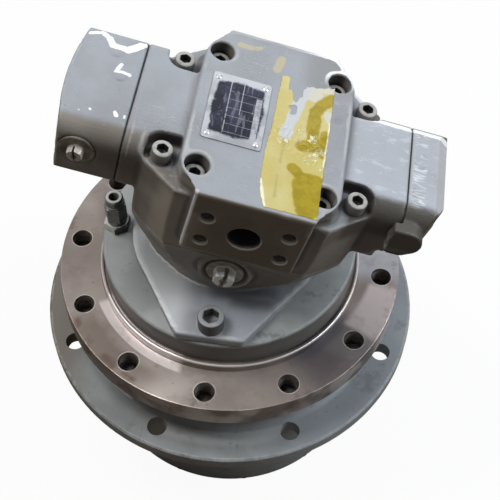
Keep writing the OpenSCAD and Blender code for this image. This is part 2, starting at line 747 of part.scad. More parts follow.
module union_body() {
    color("darkslategray") translate([union_x, union_y, hub_top_z + 7]) difference() {
        union() {
            cylinder(r = 7.2, h = 3, $fn = small_facets);
            translate([0, 0, 3]) cylinder(r = 14 / 2 / cos(30), h = 16, $fn = 6);
            translate([0, 0, 19]) cylinder(r1 = 7, r2 = 6.3, h = 7, $fn = small_facets);
        }
        translate([0, 0, -1]) cylinder(r = 3, h = 40, $fn = small_facets);
    }
}

module nameplate() {
    color("midnightblue") in_head() translate([nameplate_x, nameplate_y, top_z]) difference() {
        linear_extrude(nameplate_t) offset(r = 2, $fn = 32)
            square([nameplate_w - 4, nameplate_h - 4], center = true);
        corners(nameplate_w / 2 - 3.5, nameplate_h / 2 - 4) translate([0, 0, -1])
            cylinder(r = 1.2, h = 4, $fn = small_facets);
    }
}

module nameplate_rivets() {
    color("silver") in_head() translate([nameplate_x, nameplate_y, top_z])
        corners(nameplate_w / 2 - 3.5, nameplate_h / 2 - 4) {
            cylinder(r = 1.15, h = nameplate_t + 0.01, $fn = small_facets);
            translate([0, 0, nameplate_t]) cylinder(r1 = 2, r2 = 1.2, h = 0.9, $fn = small_facets);
        }
}

module flange_o_ring() {
    color("black") translate([0, 0, hub_top_z - 8]) rotate_extrude($fn = facets)
        translate([spigot_r - 1.55, 0]) circle(r = 1.5, $fn = 24);
}

module shaft_bearing_cups() {
    color("silver") for (z = shaft_bearing_z) ring(shaft_cup_r, shaft_cup_in_r, z, z + shaft_bearing_w);
}

module shaft_rollers() {
    r = (shaft_cup_in_r - shaft_cone_r) / 2 - 0.1;
    color("gainsboro") for (z = shaft_bearing_z) around(14, (shaft_cup_in_r + shaft_cone_r) / 2)
        translate([0, 0, z + 1.5]) cylinder(r = r, h = shaft_bearing_w - 3, $fn = small_facets);
}

// Lens that tilts the block: its round back runs on the track in the port plate.
module control_lens() {
    color("darkgray") translate([0, 0, pivot_z]) difference() {
        intersection() {
            rotate([90, 0, 0]) cylinder(r = track_r - slip, h = 2 * lens_y, center = true, $fn = facets);
            translate([-lens_x, -lens_y, block_high_z - pivot_z + gap]) cube([2 * lens_x, 2 * lens_y, track_r]);
            translate([0, 0, 30]) cylinder(r = swing_r - 1, h = 60, $fn = facets);
        }
        for (y = [-24, 0, 24]) translate([0, y, 40]) cylinder(r = 5.5, h = 40, $fn = small_facets);
    }
}

module setting_piston() {
    color("silver") in_head() translate([setting_shift, 0, setting_z]) rotate([0, 90, 0]) difference() {
        union() {
            translate([0, 0, -44]) cylinder(r = setting_r - slip, h = 30, $fn = facets);
            translate([0, 0, -15]) cylinder(r = setting_r - 4, h = 30, $fn = facets);
            translate([0, 0, 14]) cylinder(r = setting_r - slip, h = 30, $fn = facets);
        }
        rotate([0, -90 - lean, 0]) translate([0, 0, -20]) cylinder(r = 5 + slip, h = 40, $fn = small_facets);
    }
}

module setting_pin() {
    reach = (setting_z - 10) / cos(lean);
    color("silver") translate([0, 0, pivot_z + track_r - 8]) cylinder(r = 5, h = reach - track_r + 14, $fn = small_facets);
}

// Multi-disc parking brake
module brake_outer_discs() {
    color("gray") for (i = [0 : disc_count])
        ring(brake_bore_r - slip, sleeve_r + 2, brake_floor_z + 2 * i * disc_t + (i == 0 ? 0 : gap / 2), brake_floor_z + (2 * i + 1) * disc_t - gap / 2);
}

module brake_inner_discs() {
    color("saddlebrown") for (i = [0 : disc_count - 1])
        ring(brake_bore_r - 3, sleeve_r, brake_floor_z + (2 * i + 1) * disc_t + gap / 2, brake_floor_z + (2 * i + 2) * disc_t - gap / 2);
}

module brake_piston() {
    color("silver") difference() {
        ring(brake_bore_r - slip, sleeve_r + 3, brake_piston_z, spring_low_z - gap);
        translate([0, 0, brake_piston_z + 4]) ring(brake_bore_r + 1, brake_bore_r - 2.5, 0, 3);
    }
}

module disc_springs() {
    color("dimgray") rotate_extrude($fn = facets) polygon([
        [nose_r + 3, spring_low_z], [nose_r + 5, spring_low_z], [brake_bore_r - 0.5, spring_low_z + spring_h - 2.2],
        [brake_bore_r - 0.5, spring_low_z + spring_h], [brake_bore_r - 2.5, spring_low_z + spring_h], [nose_r + 3, spring_low_z + 2]
    ]);
}

module brake_retainer() {
    color("gray") ring(brake_bore_r, nose_r + 2, spring_low_z + spring_h, spigot_low_z - 1);
}

// Gearbox, turning side
module drum_housing() {
    fillet = 8;
    color("slategray") difference() {
        rotate_extrude($fn = facets * 2) polygon(concat(
            [[seal_out_r, drum_top_z], [drum_neck_r - 1, drum_top_z], [drum_neck_r, drum_top_z - 1]],
            arc(drum_neck_r + fillet, fillet - drum_flange_z, fillet, 180, 270, 6),
            [[drum_flange_r - 1.5, -drum_flange_z], [drum_flange_r, -drum_flange_z - 1.5],
             [drum_flange_r, 1.5 - drum_flange_z - drum_flange_t], [drum_flange_r - 1.5, -drum_flange_z - drum_flange_t]],
            [[register_r, -drum_flange_z - drum_flange_t], [register_r, 1 - drum_flange_z - drum_flange_t - register_h],
             [register_r - 1, -drum_flange_z - drum_flange_t - register_h], [drum_r, cover_seat_z], [ring_out_r, cover_seat_z], [ring_out_r, ring_top_z],
             [cup_r, ring_top_z], [cup_r, cup_mid_z - 2.5], [cup_r - 5, cup_mid_z - 2.5],
             [cup_r - 5, cup_mid_z + 2.5], [cup_r, cup_mid_z + 2.5], [cup_r, seal_floor_z], [seal_out_r, seal_floor_z]]));
        around(drum_hole_count, drum_hole_circle, drum_hole_turn) translate([0, 0, -drum_flange_z - drum_flange_t - 1])
            cylinder(r = drum_hole_r, h = drum_flange_t + 2, $fn = small_facets);
        around(cover_screw_count, cover_screw_circle, cover_screw_turn) translate([0, 0, cover_seat_z - 1]) cylinder(r = 4, h = 19, $fn = small_facets);
    }
}

module ring_gear() {
    pitch_r = gear_module * ring_teeth / 2;
    color("silver") translate([0, 0, ring_low_z]) difference() {
        cylinder(r = ring_out_r, h = ring_top_z - ring_low_z, $fn = facets * 2);
        translate([0, 0, -1]) linear_extrude(ring_top_z - ring_low_z + 2)
            polygon(gear_points(ring_teeth, pitch_r - addendum, pitch_r + dedendum, -tooth_play));
    }
}

module end_cover() {
    color("slategray") difference() {
        rotate_extrude($fn = facets * 2) polygon([
            [0, -foot_z], [drum_r - 3, -foot_z], [drum_r - 1, 2 - foot_z], [drum_r - 1, cover_seat_z],
            [ring_out_r - slip, cover_seat_z], [ring_out_r - slip, ring_low_z], [ring_out_r - 8, ring_low_z],
            [ring_out_r - 10, cover_inner_z], [0, cover_inner_z]
        ]);
        around(cover_screw_count, cover_screw_circle, cover_screw_turn) {
            translate([0, 0, -foot_z - 1]) cylinder(r = 4.5, h = 20, $fn = small_facets);
            translate([0, 0, -foot_z - 1]) cylinder(r = 6.9, h = 6.5, $fn = small_facets);
        }
        around(2, oil_plug_circle, 60) translate([0, 0, -foot_z - 1]) {
            cylinder(r = 8, h = 30, $fn = small_facets);
            cylinder(r = 13, h = 4, $fn = small_facets);
        }
    }
}

module end_cover_screws() {
    color("dimgray") around(cover_screw_count, cover_screw_circle, cover_screw_turn) translate([0, 0, 5.5 - foot_z])
        rotate([180, 0, 0]) cap_screw(m8_head_r, 5, 3.95, 20);
}

module oil_plugs() {
    color("dimgray") around(2, oil_plug_circle, 60) translate([0, 0, 3 - foot_z]) rotate([180, 0, 0]) difference() {
        union() {
            translate([0, 0, -10]) cylinder(r = 7.9, h = 10.01, $fn = small_facets);
            cylinder(r = 12, h = 2.5, $fn = small_facets);
        }
        translate([0, 0, -4]) cylinder(r = 4.6, h = 10, $fn = 6);
    }
}

module main_bearing_cups() {
    color("silver") for (b = main_bearings) let (
        low = race(b[0], b[1], -roller_len / 2 - 0.5, roller_r + 0.1),
        high = race(b[0], b[1], roller_len / 2 + 0.5, roller_r + 0.1))
        rotate_extrude($fn = facets) polygon([
            [cup_r, low[1]], low, high, [cup_r, high[1]]
        ]);
}

module main_rollers() {
    color("gainsboro") for (b = main_bearings) around(roller_count, roller_circle)
        translate([0, 0, b[0]]) rotate([0, b[1], 0]) cylinder(r = roller_r, h = roller_len, center = true, $fn = small_facets);
}

module face_seal_turning() {
    color("dimgray") ring(seal_out_r, seal_in_r, seal_floor_z, seal_split_z - gap);
}

module thrust_pad() {
    color("goldenrod") translate([0, 0, cover_inner_z]) cylinder(r = 9, h = 2.5, $fn = small_facets * 2);
}

// Output stage
module planet_2(index) {
    color("silver") planet(index, planet_2_teeth, sun_2_teeth, orbit_2, 0, pin_2_r, planet_2_low_z, stage_2_w);
}
module planet_2a() { planet_2(0); }
module planet_2b() { planet_2(1); }
module planet_2c() { planet_2(2); }

module sun_2() {
    color("silver") spur_gear(sun_2_teeth, sun_shaft_r + 1.5, carrier_1_top_z, planet_2_top_z - carrier_1_top_z);
}

// Input stage
module carrier_1() {
    color("gray") difference() {
        ring(orbit_1 + pin_1_r + 4, sun_shaft_r + 1.5, carrier_1_low_z, carrier_1_top_z);
        around(planet_count, orbit_1) translate([0, 0, carrier_1_low_z - 1])
            cylinder(r = pin_1_r, h = carrier_1_t + 2, $fn = small_facets * 2);
    }
}

module planet_pins_1() {
    color("silver") around(planet_count, orbit_1) translate([0, 0, planet_1_low_z - 2.5])
        cylinder(r = pin_1_r, h = carrier_1_top_z - planet_1_low_z + 2.5, $fn = small_facets * 2);
}

module planet_washers_1() {
    color("darkgray") around(planet_count, orbit_1) {
        ring(pin_1_r + 4, pin_1_r, planet_1_low_z - 2.2, planet_1_low_z - 0.3, small_facets * 2);
        ring(pin_1_r + 4, pin_1_r, planet_1_top_z + 0.3, carrier_1_low_z, small_facets * 2);
    }
}

module planet_1(index) {
    color("silver") planet(index, planet_1_teeth, sun_1_teeth, orbit_1, sun_1_turn, pin_1_r, planet_1_low_z, stage_1_w);
}
module planet_1a() { planet_1(0); }
module planet_1b() { planet_1(1); }
module planet_1c() { planet_1(2); }

module sun_1_shaft() {
    color("silver") {
        spur_gear(sun_1_teeth, 0, planet_1_low_z, stage_1_w, sun_1_turn);
        translate([0, 0, cover_inner_z + 2.5 + gap]) cylinder(r = 6, h = planet_1_low_z - cover_inner_z - 2.5 - gap + 1, $fn = small_facets);
        translate([0, 0, planet_1_low_z + 1]) cylinder(r = sun_shaft_r, h = shaft_low_z - 2 - planet_1_low_z - 1, $fn = small_facets * 2);
    }
}

// Input shaft and the motor's rotating group
module coupling_sleeve() {
    color("gray") difference() {
        translate([0, 0, sleeve_low_z]) cylinder(r = sleeve_r, h = sleeve_top_z - sleeve_low_z, $fn = facets);
        translate([0, 0, shaft_low_z - 1]) cylinder(r = spline_r, h = 60, $fn = small_facets * 2);
        translate([0, 0, sleeve_low_z - 1]) cylinder(r = sun_shaft_r, h = 60, $fn = small_facets * 2);
    }
}

module motor_shaft() {
    color("silver") difference() {
        union() {
            translate([0, 0, shaft_low_z]) cylinder(r = spline_r, h = sleeve_top_z - shaft_low_z + 1, $fn = small_facets * 2);
            translate([0, 0, sleeve_top_z]) cylinder(r = shaft_r, h = drive_flange_low_z - sleeve_top_z + 1, $fn = facets);
            translate([0, 0, drive_flange_low_z]) cylinder(r = 33, h = ball_z - drive_flange_low_z, $fn = facets);
        }
        around(piston_count, ball_circle) translate([0, 0, ball_z]) sphere(r = ball_r + slip, $fn = small_facets);
        translate([0, 0, ball_z]) sphere(r = ball_r + slip, $fn = small_facets);
    }
}

module shaft_bearing_cones() {
    color("silver") for (z = shaft_bearing_z) ring(shaft_cone_r, shaft_r, z, z + shaft_bearing_w);
}

module retaining_plate() {
    color("gray") difference() {
        ring(33, ball_r + 1, ball_z, ball_z + 3);
        around(piston_count, ball_circle) translate([0, 0, ball_z]) sphere(r = ball_r + slip, $fn = small_facets);
    }
}

module pistons() {
    color("silver") around(piston_count, ball_circle) {
        translate([0, 0, ball_z]) sphere(r = ball_r, $fn = small_facets);
        translate([0, 0, ball_z + 2]) cylinder(r1 = 3.2, r2 = piston_r - 1, h = block_low_z - ball_z + 3, $fn = small_facets);
        translate([0, 0, block_low_z + 5 - 0.01]) cylinder(r = piston_r, h = 20, $fn = small_facets);
    }
}

module cylinder_block() {
    color("goldenrod") difference() {
        ring(block_r, 5 + slip, block_low_z, block_high_z);
        around(piston_count, ball_circle) {
            translate([0, 0, block_low_z - 1]) cylinder(r = piston_r + slip, h = 34, $fn = small_facets);
            translate([0, 0, block_low_z]) cylinder(r = 4.5, h = 60, $fn = small_facets);
        }
    }
}

module centre_pin() {
    color("silver") {
        translate([0, 0, ball_z]) sphere(r = ball_r, $fn = small_facets);
        translate([0, 0, ball_z + 2]) cylinder(r = 5, h = block_high_z + 3 - ball_z - 2, $fn = small_facets);
    }
}

frame_hub();
carrier_2();
carrier_2_screws();
planet_pins_2();
planet_washers_2();
main_bearing_cones();
face_seal_fixed();
motor_housing();
port_plate();
end_cap_left();
end_cap_right();
cap_gaskets();
cap_screws();
head_screws_deep();
head_screws_pocket();
flange_screws();
housing_plug();
cap_plug();
union_body();
union_nut();
nameplate();
nameplate_rivets();
flange_o_ring();
shaft_bearing_cups();
shaft_rollers();
control_lens();
setting_piston();
setting_pin();
brake_outer_discs();
brake_retainer();
disc_springs();
drum_housing();
ring_gear();
end_cover();
end_cover_screws();
oil_plugs();
main_bearing_cups();
main_rollers();
face_seal_turning();
thrust_pad();
planet_2a();
planet_2b();
planet_2c();
carrier_1();
sun_2();
planet_pins_1();
planet_washers_1();
planet_1a();
planet_1b();
planet_1c();
sun_1_shaft();
coupling_sleeve();
motor_shaft();
shaft_bearing_cones();
cylinder_block();
pistons();
centre_pin();
retaining_plate();
brake_inner_discs();
brake_piston();
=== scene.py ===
# %% [markdown]
# # A gear motor in worn grey paint
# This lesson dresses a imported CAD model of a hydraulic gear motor. The CAD model gives the
# shapes and the motion. Blender gives the soft edges of the castings, the screws and plugs,
# the label, and the finishes: sprayed grey paint on cast iron, bare machined steel with its
# first rust, and the dirt that gathers in corners.
#
# The object is described in metres. Its Z axis is the gearbox axis, and z = 0 is the bare
# machined face of the upper flange. The motor's head leans over that axis by 12.7 degrees.

# %% Load the frame and note its size
import json
import math
import bmesh
import bpy
import numpy as np
from mathutils import Matrix, Vector


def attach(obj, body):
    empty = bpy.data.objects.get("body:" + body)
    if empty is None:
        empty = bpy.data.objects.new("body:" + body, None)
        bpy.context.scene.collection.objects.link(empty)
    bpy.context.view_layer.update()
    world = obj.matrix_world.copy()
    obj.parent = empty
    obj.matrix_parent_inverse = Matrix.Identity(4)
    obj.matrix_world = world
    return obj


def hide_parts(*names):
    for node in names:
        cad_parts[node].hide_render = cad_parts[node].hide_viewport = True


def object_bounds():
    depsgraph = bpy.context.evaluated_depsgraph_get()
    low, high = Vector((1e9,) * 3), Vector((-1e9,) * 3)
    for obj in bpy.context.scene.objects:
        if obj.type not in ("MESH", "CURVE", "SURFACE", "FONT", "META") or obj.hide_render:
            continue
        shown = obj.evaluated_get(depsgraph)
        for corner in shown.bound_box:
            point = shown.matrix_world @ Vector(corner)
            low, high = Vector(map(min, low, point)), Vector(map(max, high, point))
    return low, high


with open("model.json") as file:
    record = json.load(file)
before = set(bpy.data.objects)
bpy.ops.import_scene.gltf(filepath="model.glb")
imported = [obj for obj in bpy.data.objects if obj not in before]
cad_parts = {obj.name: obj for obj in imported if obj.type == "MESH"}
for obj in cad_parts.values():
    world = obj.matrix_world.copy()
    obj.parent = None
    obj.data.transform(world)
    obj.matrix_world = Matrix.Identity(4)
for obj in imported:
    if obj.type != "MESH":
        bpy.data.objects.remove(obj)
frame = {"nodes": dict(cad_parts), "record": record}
cad_low, cad_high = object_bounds()
scene = bpy.context.scene
MM = 0.001
LEAN = math.radians(12.7)
PIVOT_Z = 36 * MM
HEAD = Matrix.Translation((0, 0, PIVOT_Z)) @ Matrix.Rotation(LEAN, 4, "Y")


def linked(name, data):
    """A new object in the scene."""
    piece = bpy.data.objects.new(name, data)
    scene.collection.objects.link(piece)
    return piece


print("CAD box in mm:", [round(v * 1000) for v in cad_low], [round(v * 1000) for v in cad_high])

# %% [markdown]
# ## Camera
# The photograph was taken from above and a little from the right with a phone. Its place was
# worked out from the circles and holes of the object, so the camera is given by two
# directions, its right and its up, and by a point.

# %% Camera
right = Vector((0.989112, 0.146664, 0.012101))
up = Vector((-0.127658, 0.814208, 0.566365))
camera = linked("camera", bpy.data.cameras.new("camera"))
axes = Matrix((right, up, right.cross(up))).transposed()
camera.matrix_world = Matrix.Translation((0.07016, -0.42543, 0.63688)) @ axes.to_4x4()
focal_pixels, picture_pixels = 1037.5, 500
camera.data.sensor_width = 36.0
camera.data.lens = focal_pixels / picture_pixels * camera.data.sensor_width
camera.data.clip_start = 0.05
scene.camera = camera
print("lens in mm:", round(camera.data.lens, 1))

# %% [markdown]
# ## Floor, lamps and sky
# A lamp high on the left, a bluish one on the right and one behind make the top faces pale and
# leave the front in shade, as in the photograph. The sky is weak, except in reflections. The
# camera sees the floor and the sky nearly white, while all other rays see a brown grey floor,
# so that little light is thrown back at the front.

# %% Floor, lamps and sky
scene.view_settings.view_transform = "Standard"


def plane(name, half, z):
    mesh = bpy.data.meshes.new(name)
    corners = [(-half, -half, z), (half, -half, z), (half, half, z), (-half, half, z)]
    mesh.from_pydata(corners, [], [(0, 1, 2, 3)])
    return linked(name, mesh)


def lamp(name, place, size, watts, colour=(1, 1, 1)):
    """A square lamp that looks at the origin."""
    data = bpy.data.lights.new(name, "AREA")
    data.size, data.energy, data.color = size, watts, colour
    piece = linked(name, data)
    piece.location = place
    piece.rotation_euler = (-Vector(place)).to_track_quat("-Z", "Y").to_euler()


lamp("left", (-0.75, 0.05, 1.7), 0.8, 22)
lamp("right", (1.3, 0.1, 1.1), 0.9, 17, (0.86, 0.93, 1.0))
lamp("back", (0.2, 1.7, 1.1), 1.2, 11, (0.90, 0.95, 1.0))

# %% [markdown]
# ## Shader sums in Python
# A finish is a sum of masks: paint here, dirt there, a scratch on top. Written as nodes this is
# a large web, so a small class wraps each socket and turns + - * / into Math nodes. Any other
# node comes from `Finish.add`, and `Finish.coats` lays tones over each other like coats of paint.

# %% The class behind the sums
DEGREES = 57.3


class Value:
    def __init__(self, finish, socket):
        self.finish, self.socket = finish, socket

    def sum(self, operation, first, second=0.0):
        return self.finish.add("ShaderNodeMath", {"operation": operation}, {0: first, 1: second})

    def __add__(self, other): return self.sum("ADD", self, other)
    def __radd__(self, other): return self.sum("ADD", other, self)
    def __sub__(self, other): return self.sum("SUBTRACT", self, other)
    def __rsub__(self, other): return self.sum("SUBTRACT", other, self)
    def __mul__(self, other): return self.sum("MULTIPLY", self, other)
    def __truediv__(self, other): return self.sum("DIVIDE", self, other)
    def __pow__(self, other): return self.sum("POWER", self, other)
    def least(self, other): return self.sum("MINIMUM", self, other)
    def most(self, other): return self.sum("MAXIMUM", self, other)
    def size(self): return self.sum("ABSOLUTE", self)
    def gap(self, centre): return (self - centre).size()
    def reach(self, other): return (self * self + other * other) ** 0.5

    def rise(self, low, high):
        """0 below low, 1 above high, smooth between them. A fall has low above high."""
        out = (0.0, 1.0) if high > low else (1.0, 0.0)
        return self.finish.add("ShaderNodeMapRange", {"interpolation_type": "SMOOTHSTEP"},
                               {"Value": self, "From Min": min(low, high), "From Max": max(low, high),
                                "To Min": out[0], "To Max": out[1]})

    def span(self, start, full, last, end):
        """1 from full to last, 0 before start and after end."""
        return self.rise(start, full) * self.rise(end, last)


class Finish:
    """A material. Its noise lies in the head's leaning frame or in the gearbox's."""

    def __init__(self, name, metallic=0.0, specular=0.5, leaning=False):
        self.material = bpy.data.materials.new(name)
        self.material.use_nodes = True
        self.tree = self.material.node_tree
        self.shader = self.tree.nodes["Principled BSDF"]
        self.shader.inputs["Metallic"].default_value = metallic
        self.shader.inputs["Specular IOR Level"].default_value = specular
        self.world = self.add("ShaderNodeTexCoord", {}, {}, "Object")
        self.head = self.add("ShaderNodeMapping", {"vector_type": "TEXTURE"},
                             {"Vector": self.world, "Location": (0, 0, PIVOT_Z), "Rotation": (0, LEAN, 0)})
        self.home = self.head if leaning else self.world

    def feed(self, socket, value):
        if isinstance(value, Value):
            self.tree.links.new(value.socket, socket)
        else:
            socket.default_value = value

    def add(self, kind, settings, values, out=0):
        node = self.tree.nodes.new(kind)
        for name, value in settings.items():
            setattr(node, name, value)
        for name, value in values.items():
            self.feed(node.inputs[name], value)
        return Value(self, node.outputs[out])

    def axes(self, place):
        return [self.add("ShaderNodeSeparateXYZ", {}, {0: place}, i) for i in range(3)]

    def mm(self, place):
        return [axis * 1000.0 for axis in self.axes(place)]

    def facing(self):
        return self.axes(self.add("ShaderNodeTexCoord", {}, {}, "Normal"))

    def noise(self, scale, detail=2.0, rough=0.5, shift=(0, 0, 0), stretch=(1, 1, 1)):
        where = self.add("ShaderNodeMapping", {}, {"Vector": self.home, "Location": shift, "Scale": stretch})
        return self.add("ShaderNodeTexNoise", {},
                        {"Vector": where, "Scale": scale, "Detail": detail, "Roughness": rough})

    def blend(self, first, second, share):
        node = self.tree.nodes.new("ShaderNodeMix")
        node.data_type = "RGBA"
        for i, value in ((0, share), (6, first), (7, second)):
            self.feed(node.inputs[i], value)
        return Value(self, node.outputs[2])

    def coats(self, colour, layers):
        """Lays one tone after another over a colour, each by its own share."""
        for shade, share in layers:
            colour = self.blend(colour, shade if isinstance(shade, Value) else tone(*shade), share)
        return colour

    def attribute(self, name):
        return self.add("ShaderNodeAttribute", {"attribute_name": name}, {}, "Fac")

    def use(self, colour, roughness, height, depth, metallic=None):
        for name, value in (("Base Color", colour), ("Roughness", roughness), ("Metallic", metallic)):
            if value is not None:
                self.feed(self.shader.inputs[name], value)
        bump = self.add("ShaderNodeBump", {}, {"Height": height, "Distance": depth, "Strength": 1.0}, "Normal")
        self.feed(self.shader.inputs["Normal"], bump)
        return self.material


def tone(red, green, blue):
    """A colour as a picture editor shows it, 0 to 255, made linear for the shader."""
    return tuple((c / 255 / 12.92 if c / 255 <= 0.04045 else ((c / 255 + 0.055) / 1.055) ** 2.4)
                 for c in (red, green, blue)) + (1.0,)


print("tone of middle grey:", [round(c, 3) for c in tone(128, 128, 128)])

# %% Floor and sky materials
floor = plane("floor", 6.0, cad_low.z)
paper = Finish("floor_paper")
rays, glow, join = [paper.tree.nodes.new("ShaderNode" + kind) for kind in ("LightPath", "Emission", "MixShader")]
glow.inputs["Color"].default_value = (1, 1, 1, 1)
seen = Value(paper, rays.outputs["Is Camera Ray"])
paper.feed(paper.shader.inputs["Base Color"], paper.blend(tone(112, 100, 88), tone(240, 239, 237), seen))
paper.feed(paper.shader.inputs["Roughness"], 0.9)
paper.feed(join.inputs[0], seen * 0.94)
for source, target in ((paper.shader.outputs[0], join.inputs[1]), (glow.outputs[0], join.inputs[2]),
                       (join.outputs[0], paper.tree.nodes["Material Output"].inputs["Surface"])):
    paper.tree.links.new(source, target)
floor.data.materials.append(paper.material)

sky = bpy.data.worlds.new("sky")
scene.world = sky
sky.use_nodes = True
sky_nodes = sky.node_tree.nodes
soft = sky_nodes["Background"]
soft.inputs["Color"].default_value = (1.0, 0.97, 0.94, 1)
white, sky_rays, strength, sky_join = [
    sky_nodes.new("ShaderNode" + kind) for kind in ("Background", "LightPath", "Math", "MixShader")]
strength.operation = "MULTIPLY_ADD"
strength.inputs[1].default_value, strength.inputs[2].default_value = 0.35, 0.06
for source, target in (
        (sky_rays.outputs["Is Glossy Ray"], strength.inputs[0]), (strength.outputs[0], soft.inputs["Strength"]),
        (sky_rays.outputs["Is Camera Ray"], sky_join.inputs[0]), (soft.outputs[0], sky_join.inputs[1]),
        (white.outputs[0], sky_join.inputs[2]), (sky_join.outputs[0], sky_nodes["World Output"].inputs["Surface"])):
    sky.node_tree.links.new(source, target)
print("floor at z =", round(cad_low.z, 4))

# %% [markdown]
# ## Sprayed paint on cast iron
# The whole motor was sprayed grey in one go, over screws and all. The paint follows the grain
# of the casting and has slightly darker and lighter clouds. It lets go at sharp edges, and dirt
# and painted shade stay in the corners. The front gets painted shade, and some edges painted
# highlights and glare. Other marks have their own places, in mm in the frame of the leaning
# head: white smears on the left cap, the scratched top of the right wing, the port faces
# darkened by oil and painted shade.
# Such a mark is a thick line between points, with a ragged rim.

# %% Places of the head in mm, and marks between points
DEEP_X, DEEP_Y = 39.2, 46.8
POCKET_X, POCKET_Y = 61.0, 37.5
PORT_Z, PORT_HOLE_X, PORT_HOLE_Z = 88.8, 25.4, 11.9
PLATE_X, PLATE_Y, HEAD_TOP = -22.8, 0.6, 122.3


def line_mark(x, y, start, end, radius, ragged=0.0, soft=0.5):
    """1 on a thick line from start to end and 0 outside it."""
    dx, dy = end[0] - start[0], end[1] - start[1]
    along = ((x - start[0]) * dx + (y - start[1]) * dy) / max(dx * dx + dy * dy, 0.01)
    along = along.most(0.0).least(1.0)
    gap_x, gap_y = x - start[0] - along * dx, y - start[1] - along * dy
    return (gap_x.reach(gap_y) + ragged).rise(radius + soft, radius - soft)


def marks(x, y, lines, ragged=0.0, soft=0.5):
    total = None
    for start, end, radius in lines:
        mark = line_mark(x, y, start, end, radius, ragged, soft)
        total = mark if total is None else total.most(mark)
    return total


def stroke(*points):
    """Lines from point to point. A point's third number is the radius of the line after it."""
    return [(a[:2], b[:2], a[2]) for a, b in zip(points, points[1:])]


print("a stroke of two lines:", stroke((0, 0, 1.5), (4, 2, 1.0), (9, 2)))

# %% The paint of the motor's castings


class HeadPlaces(Finish):
    def __init__(self, name):
        super().__init__(name, leaning=True)
        self.place, self.floor, self.side = self.mm(self.head), self.mm(self.world), self.facing()
        self.edge, self.crease = self.attribute("edge"), self.attribute("crease")
        self.clouds = self.noise(22, 3, 0.55)
        self.fine = self.noise(150, 4, 0.65)
        self.ragged = (self.fine - 0.5) * 5.0
        x, y, z = self.place
        # The front mask: faces turned to the front and the wings' front parts, where the coats below paint shade.
        front = (self.side[1] - (self.fine - 0.5) * 0.3).rise(-0.22, -0.48)
        front = front.most((y + self.ragged * 0.6).rise(-28, -34) * x.size().rise(52, 60))
        self.front = front * self.floor[2].rise(38, 42)
        self.top = z.rise(104, 108)
        self.open_top = self.top * (1.0 - self.front)


def head_shade(f):
    """Painted shade on the front, its shoulders, the boss under the right wing and the port faces (these also
    oily); painted light on the front's left and the plate's top; a painted shadow under the head.
    """
    (x, y, z), (floor_x, floor_y, floor_z) = f.place, f.floor
    patches = f.clouds.rise(0.4, 0.6)
    # The port faces are darker, partly oil and partly painted shade.
    oil_and_shade = (y.rise(-66.9, -67.6) + y.rise(66.9, 67.6)) * z.rise(58, 62)
    # Painted light on the left part of the front.
    left = x.span(-62, -56, -40, -20) * z.span(40, 50, 100, 106) * f.front
    # Painted shade on the front shoulders of the caps and the right wing, and on the boss's top.
    shoulder = x.rise(52, 60) * z.rise(86, 98) + x.rise(-52, -60) * z.span(84, 96, 107, 116) * 0.5
    boss = x.rise(90, 94) * z.rise(94, 90) * f.side[1].rise(-0.7, -0.9)
    flange = floor_z.rise(38.5, 36.5)
    # lit: painted light on the flange plate's top, on the left.
    lit = flange * f.side[2].rise(0.8, 0.95) * floor_x.rise(-10, -28)
    # under: a painted shadow of the head on the flange plate.
    under = marks(floor_x, floor_y, [((0, -53), (36, -50), 5.0), ((14, -58), (34, -58), 5.0)],
                  f.ragged * 0.3, 6.0)
    corner = x.rise(8, 24) * y.rise(28, 42) * z.rise(119.5, 121)
    return [
        # Painted shade on the front.
        (f.blend(tone(132, 124, 112), tone(114, 105, 93), patches), f.front * 0.85),
        (f.blend(tone(110, 98, 84), tone(99, 87, 72), patches), oil_and_shade.least(1.0) * 0.85),
        ((176, 168, 154), left * 0.45), ((50, 46, 41), f.front * shoulder.most(boss * 1.2) * 0.8),
        ((214, 216, 217), lit * 0.85), ((60, 58, 55), under * flange * 0.6), ((132, 132, 130), corner * 0.7)]


def head_dirt_and_painted_light(f):
    """Grime and painted shade in the corners, a painted highlight round the flange's foot and painted shade on a
    tip of the pocket floor.
    """
    (x, y, z), (floor_x, floor_y, floor_z) = f.place, f.floor
    # Grime, and painted shade in the creases.
    grime = f.crease.rise(0.10, 0.75) * (0.55 + f.fine * 0.5) * floor_z.rise(39, 43)
    f.grime = (grime * (1.0 - z.rise(113, 116) * 0.8)).least(1.0)
    # A painted highlight along the flange's foot.
    foot_highlight = f.crease.rise(0.2, 0.4) * floor_z.gap(37.1).rise(0.9, 0.4)
    foot_highlight = foot_highlight * floor_x.rise(-4, -14) * floor_y.rise(20, 10)
    # Painted shade on the front tip of the pocket floor.
    shaded_tip = z.span(105, 106, 111, 113) * (y + f.ragged * 0.3).rise(-45, -47) * x.rise(-45, -47)
    return [((62, 56, 49), f.grime * 0.75), ((255, 255, 250), foot_highlight), ((122, 114, 104), shaded_tip * 0.85)]


